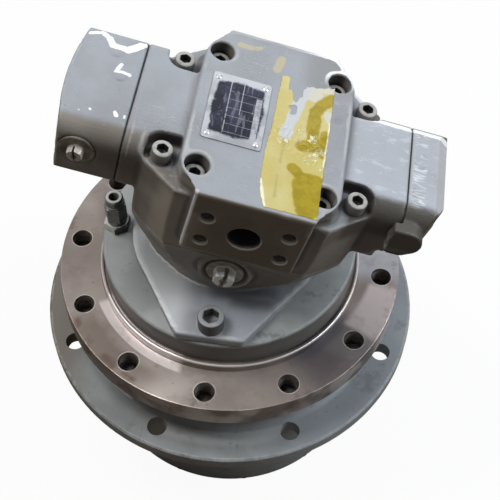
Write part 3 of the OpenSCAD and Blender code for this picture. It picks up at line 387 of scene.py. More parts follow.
def head_holes(f):
    """Painted shade darkens the pockets, the wells, the port and a ring round each pocket screw. The port face's
    holes have painted highlights on their lower lips.
    """
    x, y, z = f.place
    wide, deep = x.size() - POCKET_X, y.size() - POCKET_Y
    # pocket: painted shade on the pocket walls.
    pocket = wide.size().rise(10.5, 9.5) * y.span(-34, -33, -17, -14) * z.rise(108, 110)
    pocket = pocket * f.side[1].rise(-0.06, -0.35)
    # under: a painted contact shadow round each pocket screw.
    under = wide.reach(deep).rise(8.7, 7.7) * z.span(105, 107, 109, 112)
    # well: painted shade in the deep screws' wells, less on walls that face left.
    well = (x.size() - DEEP_X).reach(y.size() - DEEP_Y).rise(8.6, 8.1) * z.span(103, 104, 120.6, 121.6)
    well = well * (f.side[0].rise(-0.75, -0.1) * 0.65 + 0.35)
    # port: painted shade inside the port.
    port = x.reach(z - PORT_Z).rise(10.7, 10.1) * y.size().span(36, 46, 67.0, 67.8)
    round_holes = [(a, PORT_Z + b, 5.0) for a in (-PORT_HOLE_X, PORT_HOLE_X) for b in (-PORT_HOLE_Z, PORT_HOLE_Z)]
    round_holes.append((0, PORT_Z, 10.7))
    # lips: painted highlights on the lower lips of the port face's holes.
    lips = marks(x, z, [((a + 0.5, b - 0.8), (a + 0.5, b - 0.8), r) for a, b, r in round_holes],
                 f.ragged * 0.1, 0.4)
    lips = lips * (1.0 - marks(x, z, [((a, b), (a, b), r - 0.2) for a, b, r in round_holes], 0.0, 0.3))
    return [((22, 19, 17), port * 0.92), ((196, 186, 172), lips * y.rise(-67.0, -67.4) * 0.8),
            ((44, 42, 42), pocket.most(under).most(well) * 0.88)]


def head_wear(f):
    """Old film, bare patches and scratches on the top faces, combed lines on the right wing."""
    x, y = f.place[:2]
    film = marks(x, y, [((-29, 56), (-22, 56), 2.2), ((-18.5, 56.5), (-16, 57.5), 1.6),
                        ((-3, 43), (-1, 53), 2.6)], f.ragged * 0.7)
    patches = f.noise(95, 3, 0.6, stretch=(1, 2.2, 1)).rise(0.56, 0.66)
    f.bare = patches * x.rise(52, 56) * f.top
    lines = f.noise(60, 2, 0.5, stretch=(1.0, 9.0, 1.0), shift=(0.2, 0, 0))
    f.scratches = lines.gap(0.5).rise(0.010, 0.004) * f.noise(26, 2).rise(0.52, 0.62)
    f.scratches = f.scratches * f.open_top
    combs = f.noise(300, 1, 0.5, stretch=(0.25, 1, 1)).gap(0.5).rise(0.05, 0.02)
    combs = combs * x.span(93, 95, 102, 104) * f.noise(50, 2).rise(0.34, 0.52)
    valleys = f.noise(260, 1, 0.5, stretch=(0.25, 1, 1), shift=(0.4, 0.3, 0))
    valleys = valleys.gap(0.5).rise(0.04, 0.01) * x.span(93, 95, 101, 103)
    return [((192, 178, 140), film * f.top * 0.75),
            ((196, 200, 208), (x.rise(50, 58) * 0.40 + f.bare * 0.35) * f.open_top),
            ((214, 216, 220), f.scratches * 0.55), ((224, 226, 230), combs * f.open_top * 0.7),
            ((150, 149, 152), valleys * f.open_top * 0.55)]


def head_edges(f):
    """Rubbed edges, apart from seams and holes; painted highlights on the plate's and the port face's left edges;
    painted glare on the right wing's shoulder and the block's back edges, and painted shade behind the glare.
    """
    (x, y, z), (floor_x, floor_y, floor_z) = f.place, f.floor
    seams = x.gap(-85.3).rise(3.2, 4.4) * x.gap(91.8).rise(3.2, 4.4)
    seams = seams * (1.0 - x.size().gap(POCKET_X).rise(13, 11) * z.rise(112, 114))
    port_face = y.size().rise(63, 65) * x.size().rise(33.5, 32.5) * z.gap(87.0).rise(25, 24)
    rub = (f.edge + (f.fine - 0.5) * 0.6).rise(0.50, 0.85) * seams * (1.0 - port_face)
    # bright: painted highlight lines on the flange plate's left edge and the port face's left edge.
    line = f.edge.rise(0.35, 0.6)
    bright = line * floor_z.gap(35.3).rise(0.9, 0.4) * floor_x.rise(-8, -12) * floor_y.rise(-86, -84)
    bright = bright.most(line * y.rise(-64, -66) * x.gap(-36.0).rise(1.5, 0.9) * 0.45)
    # behind: painted shade on the right wing's back shoulder, beyond the glare.
    behind = y.rise(30.8, 32.0) * x.rise(56, 62) * z.rise(96, 100)
    bevel = x.rise(108, 111) * f.open_top * (1.0 - behind)
    glare = (y + f.ragged * 0.7).rise(26.2, 27.0) * x.rise(56, 62) * z.rise(99, 103) * y.rise(32.0, 31.0)
    # Painted glare: the block's rubbed back edges and the right wing's shoulder glare white.
    painted_glare = (rub * y.rise(40, 54) * x.rise(0, 34) * f.open_top + glare).least(1.0)
    return [((206, 206, 202), rub * f.clouds.rise(0.42, 0.62) * 0.45), ((252, 252, 252), bright * 0.75),
            ((96, 92, 87), behind * 0.9), ((214, 210, 206), bevel * 0.4), ((252, 252, 252), painted_glare * 0.9)]


def head_paint(light, dark):
    f = HeadPlaces("motor_paint")
    x, y = f.place[:2]
    specks = f.noise(900, 1, 0.5).rise(0.70, 0.78)
    smears = marks(x, y, stroke(
        (-122, 35, 1.2), (-115, 38.2, 1.6), (-109.5, 34.5, 2.2), (-106.5, 29.5, 2.4), (-97, 29, 2.6),
        (-90, 35.5, 1.4), (-87, 37)) + stroke((-98.3, 16.3, 1.2), (-100.3, 9.5, 1.3), (-92, 9.4)) + [
        ((-93.7, -22), (-92.7, -24), 1.3), ((-108.5, -24.4), (-108.4, -24.6), 0.7),
        ((-87.6, -23.1), (-87.5, -24.6), 0.7), ((-114.6, -27.2), (-114.5, -27.4), 0.5),
        ((-113.4, -34.4), (-113, -35), 0.6), ((-98, -33), (-98, -33.4), 0.45)],
        f.ragged * 0.5, 0.35) * f.open_top
    colour = f.coats(
        f.blend(light, dark, f.clouds.rise(0.35, 0.70)),
        [((98, 95, 90), specks * 0.5)] + head_shade(f) + head_dirt_and_painted_light(f) + head_holes(f) + head_wear(f)
        + head_edges(f) + [((252, 251, 249), smears)])
    pits = f.add("ShaderNodeTexVoronoi", {}, {"Vector": f.head, "Scale": 420}, "Distance").rise(0.32, 0.10)
    height = f.noise(620, 2, 0.6) * 0.6 - pits * 0.5 + f.noise(90, 2, 0.5) * 1.5
    height = height + smears * 2.0 + f.bare * 0.8 - f.scratches * 0.8
    return f.use(colour, 0.42 + f.clouds * 0.15 - f.bare * 0.14 + f.grime * 0.2, height, 0.00012)


paint_motor = head_paint(tone(158, 161, 167), tone(145, 147, 151))
print("motor paint nodes:", len(paint_motor.node_tree.nodes))

# %% The paint of the drum and the cover


def gearbox_paint():
    f = Finish("gearbox_paint")
    x, y, z = f.mm(f.world)
    radius, turn = x.reach(y), y.sum("ARCTAN2", y, x) * DEGREES
    clouds = f.noise(20, 4, 0.6)
    fine = f.noise(170, 4, 0.65)
    # lit: painted light on the front of the drum flange, next to the frame flange.
    lit = turn.gap(-86.0).rise(34, 14) * radius.span(117, 119, 124, 131) * z.rise(-47, -49)
    stains = f.noise(46, 5, 0.7, shift=(0.4, 0.2, 0)).rise(0.56, 0.68)
    worn = radius.rise(137.2, 138.6) * z.rise(-54, -50.5) * fine.rise(0.35, 0.6)
    # neck and the streak: painted highlights on the neck's fillet.
    neck = radius.gap(113.5).rise(1.4, 0.4) * z.rise(-44, -40) * f.noise(12, 2).rise(0.45, 0.6)
    streak_highlight = radius.gap(116.0).rise(1.2, 0.5) * turn.gap(-129.0).rise(11, 9) * z.rise(-42, -45)
    # The left is painted darker and browner and the right lighter and bluish: painted shade and light.
    colour = f.coats(f.blend(tone(148, 151, 151), tone(126, 128, 127), clouds.rise(0.34, 0.68)), [
        ((116, 108, 98), x.rise(-85, -120) * 0.95), ((164, 170, 177), x.rise(20, 90) * 0.5),
        ((196, 196, 193), lit * 0.6), ((92, 88, 82), stains * 0.35), ((70, 66, 60), fine.rise(0.66, 0.72) * 0.4),
        ((186, 188, 186), worn * 0.5), ((216, 217, 214), neck * 0.6 + streak_highlight * 0.9)])
    height = f.noise(560, 2, 0.6) * 0.6 + f.noise(80, 2, 0.5) * 1.4
    return f.use(colour, 0.46 + clouds * 0.14, height, 0.00010)


paint_gearbox = gearbox_paint()
print("gearbox paint nodes:", len(paint_gearbox.node_tree.nodes))

# %% Screws, plugs, rivets and inner parts


def plain(name, light, dark, roughness, metallic, scale=60, depth=0.00005, hexagon=None, shaded_sides=None):
    """A clouded finish. The sides tone is a painted shade on upright faces, hexagon that of the marked rings."""
    f = Finish(name)
    clouds = f.noise(scale, 3, 0.6)
    fine = f.noise(scale * 9, 3, 0.6)
    colour = f.blend(tone(*light), tone(*dark), (clouds * 0.7 + fine * 0.3).rise(0.36, 0.66))
    # Painted shade on upright faces.
    if shaded_sides:
        facing = f.facing()
        lift = facing[0] * math.sin(LEAN) + facing[2] * math.cos(LEAN)
        colour = f.blend(colour, tone(*shaded_sides), lift.size().rise(0.75, 0.4) * 0.85)
    # Marked rings: painted shade in sockets, painted reflection on plug hexagons.
    if hexagon:
        share = f.attribute("hexagon").rise(0.3, 0.8) * (0.75 + fine * 0.5).least(1.0)
        colour = f.blend(colour, tone(*hexagon), share)
    return f.use(colour, roughness + clouds * 0.12, f.noise(700, 2, 0.6), depth, metallic)


# The screws' hexagon tones paint their sockets dark with oil and painted shade, and their sides tones are painted
# shade.
paint_screw = plain("screw_paint", (178, 176, 171), (146, 142, 136), 0.42, 0.0, 170, 0.00010,
                    hexagon=(44, 43, 46), shaded_sides=(108, 105, 100))
paint_flange = plain("flange_screw_paint", (150, 153, 154), (128, 130, 130), 0.42, 0.0, 90, 0.00010,
                     hexagon=(96, 96, 95), shaded_sides=(62, 62, 61))
# The plugs' hexagon tones are painted reflections. The second plug finish is a lit copy of the first, with painted
# highlights, for the housing plug.
plug_steel = plain("plug_steel", (136, 131, 121), (92, 87, 78), 0.34, 0.2, 230, hexagon=(196, 190, 178))
plug_steel_lit = plain("plug_steel_lit", (176, 172, 164), (136, 132, 124), 0.3, 0.1, 230, hexagon=(255, 253, 248))
steel_ground = plain("ground_steel", (190, 190, 192), (168, 168, 170), 0.25, 0.9)
steel_thread = plain("thread_steel", (92, 84, 78), (44, 38, 34), 0.42, 0.4, 240)
rivet_metal = plain("rivet_metal", (222, 222, 224), (186, 187, 190), 0.26, 0.55, 260)
iron_inner = plain("machined_iron", (120, 120, 122), (96, 96, 98), 0.4, 0.6)
bronze = plain("bronze", (190, 152, 92), (160, 124, 72), 0.3, 0.9)
lining = plain("brake_lining", (110, 92, 72), (84, 70, 54), 0.8, 0.1)
rubber = plain("rubber", (34, 33, 32), (22, 21, 20), 0.6, 0.0)
print("plain finishes, the last of them:", rubber.name)

# %% The union's dull steel, with painted shade on the flats that face the motor and painted light on faces turned up and on the nut's left flats


def fitting_finish():
    f = Finish("fitting_steel", metallic=0.15)
    facing, height = f.facing(), f.mm(f.world)[2]
    fine = f.noise(400, 3, 0.6)
    clouds = f.noise(200, 3, 0.6).rise(0.36, 0.66)
    # Painted shade on flats turned to the motor; painted light on the nut's left flats and on faces turned up.
    colour = f.coats(f.blend(tone(150, 151, 148), tone(118, 118, 115), clouds), [
        ((34, 34, 33), (facing[0] + (fine - 0.5) * 0.3).rise(0.10, 0.42) * 0.92),
        ((232, 232, 227), height.rise(35.5, 34.5) * facing[0].rise(-0.2, -0.4) * 0.85),
        ((216, 216, 211), facing[2].rise(0.72, 0.95) * 0.8)])
    return f.use(colour, 0.36 + fine * 0.12, fine, 0.00004)


fitting_steel = fitting_finish()
print("union finish:", fitting_steel.name)

# %% [markdown]
# ## Bare machined steel
# The flange that meets the machine has no paint. The lathe left fine rings, and handling left
# brown and grey stains that are darkest round the holes. The twelve holes are found by folding
# the angle round the axis into one twelfth of a turn, so a single sum gives the distance from
# the nearest hole.

# %% Frame flange: paint on the hub top, bare steel below it
HOLE_CIRCLE = 112.0


def frame_finish():
    f = Finish("frame_steel")
    x, y, z = f.mm(f.world)
    radius, angle = x.reach(y), y.sum("ARCTAN2", y, x)
    fold = angle - angle.sum("ROUND", angle * (6 / math.pi)) * (math.pi / 6)
    across, inward = fold.sum("SINE", fold) * radius, fold.sum("COSINE", fold) * radius - HOLE_CIRCLE
    hole, turn = across.reach(inward), angle * DEGREES
    lathe = f.add("ShaderNodeTexNoise", {"noise_dimensions": "1D"}, {"W": radius, "Scale": 2.6, "Detail": 2.0})
    clouds = f.noise(17, 4, 0.6)
    fine = f.noise(150, 4, 0.7)
    pale = f.noise(11, 2, 0.5, shift=(0.35, 0.55, 0)).rise(0.52, 0.66)
    # glow: a painted pink reflection on the ring's right part.
    glow = turn.gap(-15.0).rise(12.5, 9.5) * (radius - (turn + 15.0) * 0.25).rise(99, 104)
    # band: a painted pale reflection at the front left, near the pilot.
    band = radius.rise(102.6, 101.4) * turn.gap(-125.0).rise(25, 22)
    stains = f.noise(30, 5, 0.68, shift=(0.3, 0.1, 0)).rise(0.52, 0.66)
    drops = marks(x, y, [((-97.5, -73), (-99, -70), 2.0), ((-73, -96), (-66, -102), 2.6),
                         ((-58, -106), (-50, -110), 1.0)], (fine - 0.5) * 7.0, 2.4)
    rust = f.noise(34, 4, 0.7, shift=(0.7, 0.3, 0)).rise(0.50, 0.64)
    rust = ((radius.rise(114, 124) + hole.rise(16, 7) * 0.6) * rust).least(1.0)
    # A painted highlight on each hole's lip.
    lip_highlight = hole.rise(8.1, 7.7) * f.noise(60, 2).rise(0.35, 0.55)
    # By the angle round the axis the ring is painted darker on the left, with bluish, pink and pale painted
    # reflections. Inside the holes is painted shade, and their lips get a painted highlight.
    steel = f.coats(f.blend(tone(156, 145, 139), tone(132, 121, 116), clouds.rise(0.36, 0.64)), [
        ((206, 196, 189), pale * 0.5), ((118, 106, 100), turn.size().rise(158, 172) * 0.55),
        ((104, 92, 84), turn.gap(-128.0).rise(24, 12) * radius.rise(104, 112) * 0.75),
        ((86, 84, 92), turn.gap(-38.0).rise(24, 8) * (radius.rise(103, 99) * 0.2 + 0.60)),
        ((206, 193, 190), glow * 0.85), ((182, 184, 194), turn.span(-6, 4, 30, 60) * 0.6),
        ((222, 212, 210), band * 0.75), ((112, 98, 88), stains * 0.35), ((78, 62, 50), drops * 0.7),
        ((84, 68, 56), rust * 0.5), ((78, 66, 58), fine.rise(0.64, 0.72) * 0.5),
        ((34, 28, 24), hole.rise(7.5, 7.1) * z.rise(0.2, -0.8) * 0.9), ((214, 208, 202), lip_highlight * 0.6)])
    dust = f.noise(60, 5, 0.7, shift=(0.1, 0.6, 0)).rise(0.57, 0.68)
    rounding = radius.gap(90.2).rise(0.8, 0.3) * z.rise(26, 27) * fine.rise(0.42, 0.6)
    grey = f.noise(26, 3, 0.6).rise(0.35, 0.65)
    # The hub's upright side, below z = 26 mm, gets painted shade.
    paint = f.coats(f.blend(tone(174, 177, 176), tone(153, 156, 155), grey), [
        ((94, 93, 89), z.rise(26, 24) * 0.85), ((88, 84, 77), dust * 0.45),
        ((128, 112, 99), radius.rise(90.6, 91.6) * fine.rise(0.35, 0.6) * 0.6), ((182, 184, 180), rounding * 0.5)])
    rim = radius.rise(124.2, 124.8) * 0.6 * f.noise(40, 2).rise(0.4, 0.6) * turn.gap(-128.0).rise(20, 40)
    rim = rim.most(radius.gap(94.6).rise(0.75, 0.35) * z.span(5.0, 6.0, 7.5, 8.5))
    painted = z.rise(6.2, 7.0) * radius.rise(93.6, 92.9)
    bare = 1.0 - painted
    colour = f.blend(f.blend(steel, paint, painted), tone(246, 242, 238), rim * 0.85)
    rough = 0.30 + clouds * 0.14 + painted * 0.16 + rust * bare * 0.25
    height = lathe * bare * 0.35 + f.noise(500, 2, 0.6) * painted + fine * bare * 0.3
    return f.use(colour, rough, height, 0.00007, bare * 0.55)


steel_frame = frame_finish()
print("frame finish:", steel_frame.name)

# %% [markdown]
# ## Nameplate and label
# The nameplate is light metal with a dark printed field, rubbed through at its rim and in
# patches. It keeps the ruled boxes of such a plate, without any words. The label is thin yellow
# film with darker printed areas, torn near its top, with painted glints on its creases.

# %% The nameplate's print


def nameplate_finish():
    f = Finish("nameplate_print", specular=0.25, leaning=True)
    x, y = f.mm(f.head)[:2]
    u, v = x - PLATE_X, y - PLATE_Y
    fine = f.noise(260, 4, 0.7)
    rough_rim = (f.noise(130, 4, 0.7) - 0.5) * 7.0
    field = ((u.size() * 1.36).most(v.size()) + rough_rim + (u.size() + v.size() * 0.7) * 0.16).rise(26.0, 23.6)
    worn = f.noise(75, 5, 0.72, shift=(0.13, 0.4, 0)).rise(0.46, 0.60)
    rule = u.gap(-6.4).rise(0.42, 0.2).most(u.gap(1.8).rise(0.36, 0.16) * v.rise(-4, -3))
    for level in (-19.0, -12.5, -6.0, 0.5, 7.5, 14.0):
        rule = rule.most(v.gap(level).rise(0.30, 0.12) * 0.55 * u.rise(-6.4, -6.0))
    stripes = f.noise(115, 2, 0.5, stretch=(3.2, 0.5, 1), shift=(0.3, 0.2, 0)).rise(0.56, 0.63)
    column = u.gap(12.6).rise(2.1, 1.7) * v.gap(-4).rise(17.5, 16.5)
    ink = f.coats(f.blend(tone(22, 24, 40), tone(54, 56, 76), worn * 0.8), [
        ((150, 152, 162), fine.rise(0.62, 0.70) * 0.5), ((122, 124, 138), stripes * 0.5),
        ((190, 192, 198), rule * fine.rise(0.30, 0.5) * 0.7),
        (f.blend(tone(192, 194, 200), tone(150, 152, 160), fine.rise(0.4, 0.6)), column * 0.85)])
    metal = f.blend(tone(186, 188, 192), tone(158, 160, 165), f.noise(60, 3).rise(0.4, 0.6))
    height = field * 0.6 + fine * 0.4
    return f.use(f.blend(metal, ink, field), 0.30 + worn * 0.12, height, 0.00006, (1.0 - field) * 0.4)


# %% The label's print


def label_finish():
    f = Finish("label_print", specular=0.3, leaning=True)
    x, y = f.mm(f.head)[:2]
    fine = f.noise(170, 3, 0.6)
    ragged = (f.noise(85, 4, 0.6) - 0.5) * 6.0
    film = marks(x, y, [((20, 36), (33, 39.5), 4.5), ((18, 32), (24, 30), 5.5), ((34, 17), (36, 13), 3.0)],
                 ragged * 0.4, 1.0)
    olive = marks(x, y, stroke((36, 30, 4.4), (30, 24.5, 4.4), (25.3, 17)) + [
        ((25.3, 15), (26.8, -5), 4.3), ((21, -13), (33, -9), 4.6), ((33.6, 0), (34.5, -16), 3.4),
        ((17.5, -32), (24, -38), 3.6), ((24, -37), (33, -37), 3.8), ((31, -42), (29.5, -60), 7.0),
        ((23, -42), (26.5, -57), 5.0)], ragged, 0.8)
    torn = marks(x, y, stroke((20, 40, 4.2), (16, 28, 4.0), (12.5, 8, 3.6), (9, -7)), ragged * 0.7)
    bars = marks(x, y, [((8.6, -40), (8.9, -56), 0.9), ((9.5, -12), (8.8, -30), 0.8)], ragged * 0.4, 0.8)
    creased = marks(x, y, [((20, -4), (35, -18), 6.5), ((24, -22), (34, -24), 4.0), ((6, -3), (12, -14), 5.0)],
                    ragged * 0.6, 1.5)
    # Painted glints on the creased film.
    crease_glints = f.noise(150, 4, 0.75, shift=(0.5, 0.2, 0)).rise(0.50, 0.57) * creased
    rim = marks(x, y, [((36.4, 10), (35.6, -24), 0.7), ((-1, -46), (3.6, -64), 0.9)], ragged * 0.3, 0.4)
    colour = f.coats(f.blend(tone(205, 193, 134), tone(198, 183, 112), f.noise(30, 3).rise(0.4, 0.6)), [
        ((196, 180, 92), x.rise(12, 22) * y.rise(-10, -24) * 0.5), ((206, 203, 190), film * 0.9),
        (f.blend(tone(168, 148, 34), tone(156, 136, 30), fine.rise(0.4, 0.6)), olive), ((199, 200, 201), torn),
        ((172, 162, 104), bars * 0.6), ((244, 236, 196), crease_glints * 0.85), ((252, 246, 214), rim * 0.8),
        ((205, 160, 140), line_mark(x, y, (13, 40.5), (19, 40), 1.2, ragged * 0.3) * 0.7)])
    return f.use(colour, 0.20 + fine * 0.1 + torn * 0.3, fine * 0.5 + crease_glints * 2.0, 0.00018)


plate_ink = nameplate_finish()
label_print = label_finish()
print("prints:", plate_ink.name, label_print.name)

# %% Give each CAD node its finish
slot_finish = {
    "motor_casting": paint_motor, "gearbox_casting": paint_gearbox, "frame_steel": steel_frame,
    "painted_screw": paint_screw, "bare_plug": plug_steel, "dark_fitting": fitting_steel,
    "nameplate": plate_ink, "rivet": steel_ground, "rubber": rubber, "hard_steel": steel_ground,
    "carrier_iron": iron_inner, "bronze": bronze, "friction_lining": lining,
}
for part in frame["record"]["subparts"]:
    piece = frame["nodes"][part["node"]]
    piece.data.materials.clear()
    piece.data.materials.append(slot_finish[part["material_slot"]])

# %% [markdown]
# ## Castings
# A casting has no sharp edge: every corner is rounded by the mould and again by the paint. A
# copy of each CAD casting is wrapped in an even skin of small faces, and the skin is relaxed a
# little. Then each vertex is compared with a strongly relaxed skin. Where it stands out, the
# place is an edge, and where it lies deeper, a corner that gathers dirt and gets painted shade.
# Both are kept as numbers on the mesh, for the paint to read.


def cad_copy(node, space=None):
    """A copy of a CAD node with its loose triangles joined, in another frame if asked."""
    source = frame["nodes"][node]
    work = bmesh.new()
    work.from_mesh(source.data)
    work.transform((space.inverted() if space else Matrix()) @ source.matrix_world)
    bmesh.ops.remove_doubles(work, verts=work.verts[:], dist=0.000003)
    return put(work, "made_" + node)


def put(work, name):
    """Turns a bmesh into an object of the scene."""
    mesh = bpy.data.meshes.new(name)
    bmesh.ops.recalc_face_normals(work, faces=work.faces[:])
    work.to_mesh(mesh)
    work.free()
    return linked(name, mesh)


def settle(piece, space=None):
    """Makes the piece's modifiers a plain mesh and turns it into the object's own frame."""
    scene.view_layers[0].update()
    made = bpy.data.meshes.new_from_object(piece.evaluated_get(bpy.context.evaluated_depsgraph_get()))
    piece.modifiers.clear()
    piece.data = made
    if space:
        made.transform(space)
    return piece


def hand_over(piece, nodes, finish=None, body="gearbox_frame"):
    """Dresses a finished piece, which rides on a body and stands for CAD nodes."""
    if finish:
        piece.data.materials.clear()
        piece.data.materials.append(finish)
    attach(piece, body)
    if nodes:
        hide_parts(*nodes)
    print(piece.name, "faces:", len(piece.data.polygons))


def relaxed(values, pairs, degree, rounds):
    """Each vertex moves half way to the mean of its neighbours, round after round."""
    for _ in range(rounds):
        total = np.zeros_like(values)
        for here, there in ((0, 1), (1, 0)):
            for axis in range(values.shape[1]):
                total[:, axis] += np.bincount(pairs[:, here], values[pairs[:, there], axis], len(values))
        values = 0.5 * values + 0.5 * total / degree[:, None]
    return values


def rows_of(items, name, width, kind=float):
    values = np.empty(len(items) * width, dtype=kind)
    items.foreach_get(name, values)
    return values.reshape(-1, width)


def mark_edges(mesh, rounds=26, scale=0.55 * MM):
    """Writes the point attributes edge and crease, each 0 to 1."""
    points, normals = rows_of(mesh.vertices, "co", 3), rows_of(mesh.vertex_normals, "vector", 3)
    pairs = rows_of(mesh.edges, "vertices", 2, np.int64)
    degree = np.maximum(np.bincount(pairs.ravel(), minlength=len(points)), 1).astype(float)
    depth = ((relaxed(points, pairs, degree, rounds) - points) * normals).sum(1) / scale
    depth = relaxed(depth[:, None], pairs, degree, 2)[:, 0]
    for name, value in (("edge", -depth), ("crease", depth)):
        mesh.attributes.new(name, "FLOAT", "POINT").data.foreach_set("value", np.clip(value, 0, 1))


def casting(node, voxel, rounds):
    piece = cad_copy(node, HEAD)
    skin = piece.modifiers.new("skin", "REMESH")
    skin.mode, skin.voxel_size, skin.use_smooth_shade = "VOXEL", voxel, True
    ease = piece.modifiers.new("ease", "SMOOTH")
    ease.factor, ease.iterations = 0.5, rounds
    settle(piece, HEAD)
    mark_edges(piece.data)
    piece.data.shade_smooth()
    hand_over(piece, [node], paint_motor)


# %% The four castings of the motor
for node, voxel, rounds in (("port_plate", 0.00122, 3), ("motor_housing", 0.00122, 4),
                            ("end_cap_left", 0.00085, 5), ("end_cap_right", 0.00085, 5)):
    casting(node, voxel, rounds)

# %% [markdown]
# ## Turned pieces
# The hub, the drum and the cover keep their exact round form. Only their edges are broken by a
# fine chamfer, as a lathe or a paint film leaves them.

# %% Hub, drum and cover with broken edges


def broken_edges(node, body, width, finish, space=None):
    piece = cad_copy(node, space)
    flat = piece.modifiers.new("flat", "DECIMATE")
    flat.decimate_type, flat.angle_limit = "DISSOLVE", math.radians(0.4)
    chamfer = piece.modifiers.new("chamfer", "BEVEL")
    chamfer.width, chamfer.segments, chamfer.limit_method = width, 1, "ANGLE"
    chamfer.angle_limit = math.radians(32)
    chamfer.use_clamp_overlap = True
    settle(piece, space)
    piece.data.shade_smooth()
    piece.data.set_sharp_from_angle(angle=math.radians(33))
    piece.modifiers.new("even", "WEIGHTED_NORMAL").keep_sharp = True
    settle(piece)
    hand_over(piece, [node], finish, body=body)


broken_edges("frame_hub", "gearbox_frame", 0.4 * MM, steel_frame)
broken_edges("drum_housing", "drum", 0.5 * MM, paint_gearbox)
broken_edges("end_cover", "drum", 0.5 * MM, paint_gearbox)

# %% [markdown]
# ## Screws and plugs
# One function turns a list of rings into a closed mesh. A ring is a height and a radius, and a
# third number cuts it to a hexagon of that width, so sockets, hexagon heads and chamfers all
# come from the same list. The hexagon rings are marked, and the finish paints a socket dark with
# oil and painted shade and gives a plug's hexagon a painted reflection. Geometry Nodes then set a
# screw at each place of a pattern.

# %% Forms made of rings
CORNER = 0.577  # from a hexagon's middle to its corner, as a share of its width


def rings(name, rows, steps=48, closed=False):
    work = bmesh.new()
    loops, hexed = [], []
    for row in rows:
        z, radius, flats = (list(row) + [None])[:3]
        loop = []
        for i in range(steps):
            angle = math.tau * i / steps
            reach = radius
            hexed.append(1.0 if flats else 0.0)
            if flats:
                turn = (angle + math.pi / 6) % (math.pi / 3) - math.pi / 6
                reach = min(radius, flats / 2 / math.cos(turn))
            loop.append(work.verts.new((reach * math.cos(angle) * MM, reach * math.sin(angle) * MM, z * MM)))
        loops.append(loop)
    for low, high in zip(loops, loops[1:] + (loops[:1] if closed else [])):
        for i in range(steps):
            j = (i + 1) % steps
            work.faces.new((low[i], low[j], high[j], high[i]))
    if not closed:
        for loop, z in ((loops[0], rows[0][0]), (loops[-1], rows[-1][0])):
            middle = work.verts.new((0, 0, z * MM))
            hexed.append(hexed[0 if loop is loops[0] else -1])
            for i in range(steps):
                work.faces.new((loop[i], loop[(i + 1) % steps], middle))
    piece = put(work, name)
    piece.data.attributes.new("hexagon", "FLOAT", "POINT").data.foreach_set("value", hexed)
    piece.data.shade_smooth()
    piece.data.set_sharp_from_angle(angle=math.radians(34))
    return piece


def cap_screw(name, head_r, head_h, shank_r, length, key):
    return rings(name, [
        (-length, shank_r - 0.6), (0.6 - length, shank_r), (0, shank_r), (0, head_r - 0.3), (0.3, head_r),
        (head_h - 1.0, head_r), (head_h - 0.45, head_r - 0.2), (head_h - 0.12, head_r - 0.6),
        (head_h, head_r - 1.1), (head_h, key * 0.60), (head_h - 0.2, key * CORNER, key),
        (head_h - 0.5, key * CORNER, key), (head_h * 0.34, key * CORNER, key), (head_h * 0.30, key * 0.40, key),
        (head_h * 0.24, key * 0.1, key)])


# %% A Geometry Nodes pattern


def pattern_tree():
    """Sets a form at each point of a mesh, its Z along the point's attribute aim."""
    tree = bpy.data.node_groups.new("pattern", "GeometryNodeTree")
    for name, way, kind in (("Points", "INPUT", "Geometry"), ("Form", "INPUT", "Object"),
                            ("Finish", "INPUT", "Material"), ("Pieces", "OUTPUT", "Geometry")):
        tree.interface.new_socket(name, in_out=way, socket_type="NodeSocket" + kind)
    new = tree.nodes.new
    start, end = new("NodeGroupInput"), new("NodeGroupOutput")
    form = new("GeometryNodeObjectInfo")
    aim = new("GeometryNodeInputNamedAttribute")
    aim.data_type = "FLOAT_VECTOR"
    aim.inputs["Name"].default_value = "aim"
    turn = new("FunctionNodeAlignRotationToVector")
    turn.axis = "Z"
    copies, real = new("GeometryNodeInstanceOnPoints"), new("GeometryNodeRealizeInstances")
    paint = new("GeometryNodeSetMaterial")
    for source, out, target, into in (
            (start, "Points", copies, "Points"), (start, "Form", form, "Object"),
            (form, "Geometry", copies, "Instance"), (aim, "Attribute", turn, "Vector"),
            (turn, "Rotation", copies, "Rotation"), (copies, "Instances", real, "Geometry"),
            (real, "Geometry", paint, "Geometry"), (start, "Finish", paint, "Material"),
            (paint, "Geometry", end, "Pieces")):
        tree.links.new(source.outputs[out], target.inputs[into])
    return tree


pattern = pattern_tree()
print("nodes of the pattern:", len(pattern.nodes))

# %% Rows of places, in the head's frame or in the gearbox's


def patterned(name, form, places, aim, finish, space=None):
    """Sets a form at each place, in mm, its Z along the unit vector aim."""
    space = space or Matrix()
    mesh = bpy.data.meshes.new(name)
    mesh.from_pydata([space @ (Vector(p) * MM) for p in places], [], [])
    aims = mesh.attributes.new("aim", "FLOAT_VECTOR", "POINT")
    aims.data.foreach_set("vector", list(space.to_3x3() @ Vector(aim)) * len(places))
    piece = linked(name, mesh)
    nodes = piece.modifiers.new("pattern", "NODES")
    nodes.node_group = pattern
    for item in pattern.interface.items_tree:
        if item.name == "Form":
            nodes[item.identifier] = form
        if item.name == "Finish":
            nodes[item.identifier] = finish
    settle(piece)
    bpy.data.objects.remove(form)
    return piece


def four(x, y, z, middle=(0, 0)):
    return [(middle[0] + sx * x, middle[1] + sy * y, z) for sx in (-1, 1) for sy in (-1, 1)]


def circle(count, radius, z, turn=0.0):
    return [(radius * math.cos(math.radians(turn) + math.tau * i / count),
             radius * math.sin(math.radians(turn) + math.tau * i / count), z) for i in range(count)]


up_z, down_z = (0, 0, 1), (0, 0, -1)
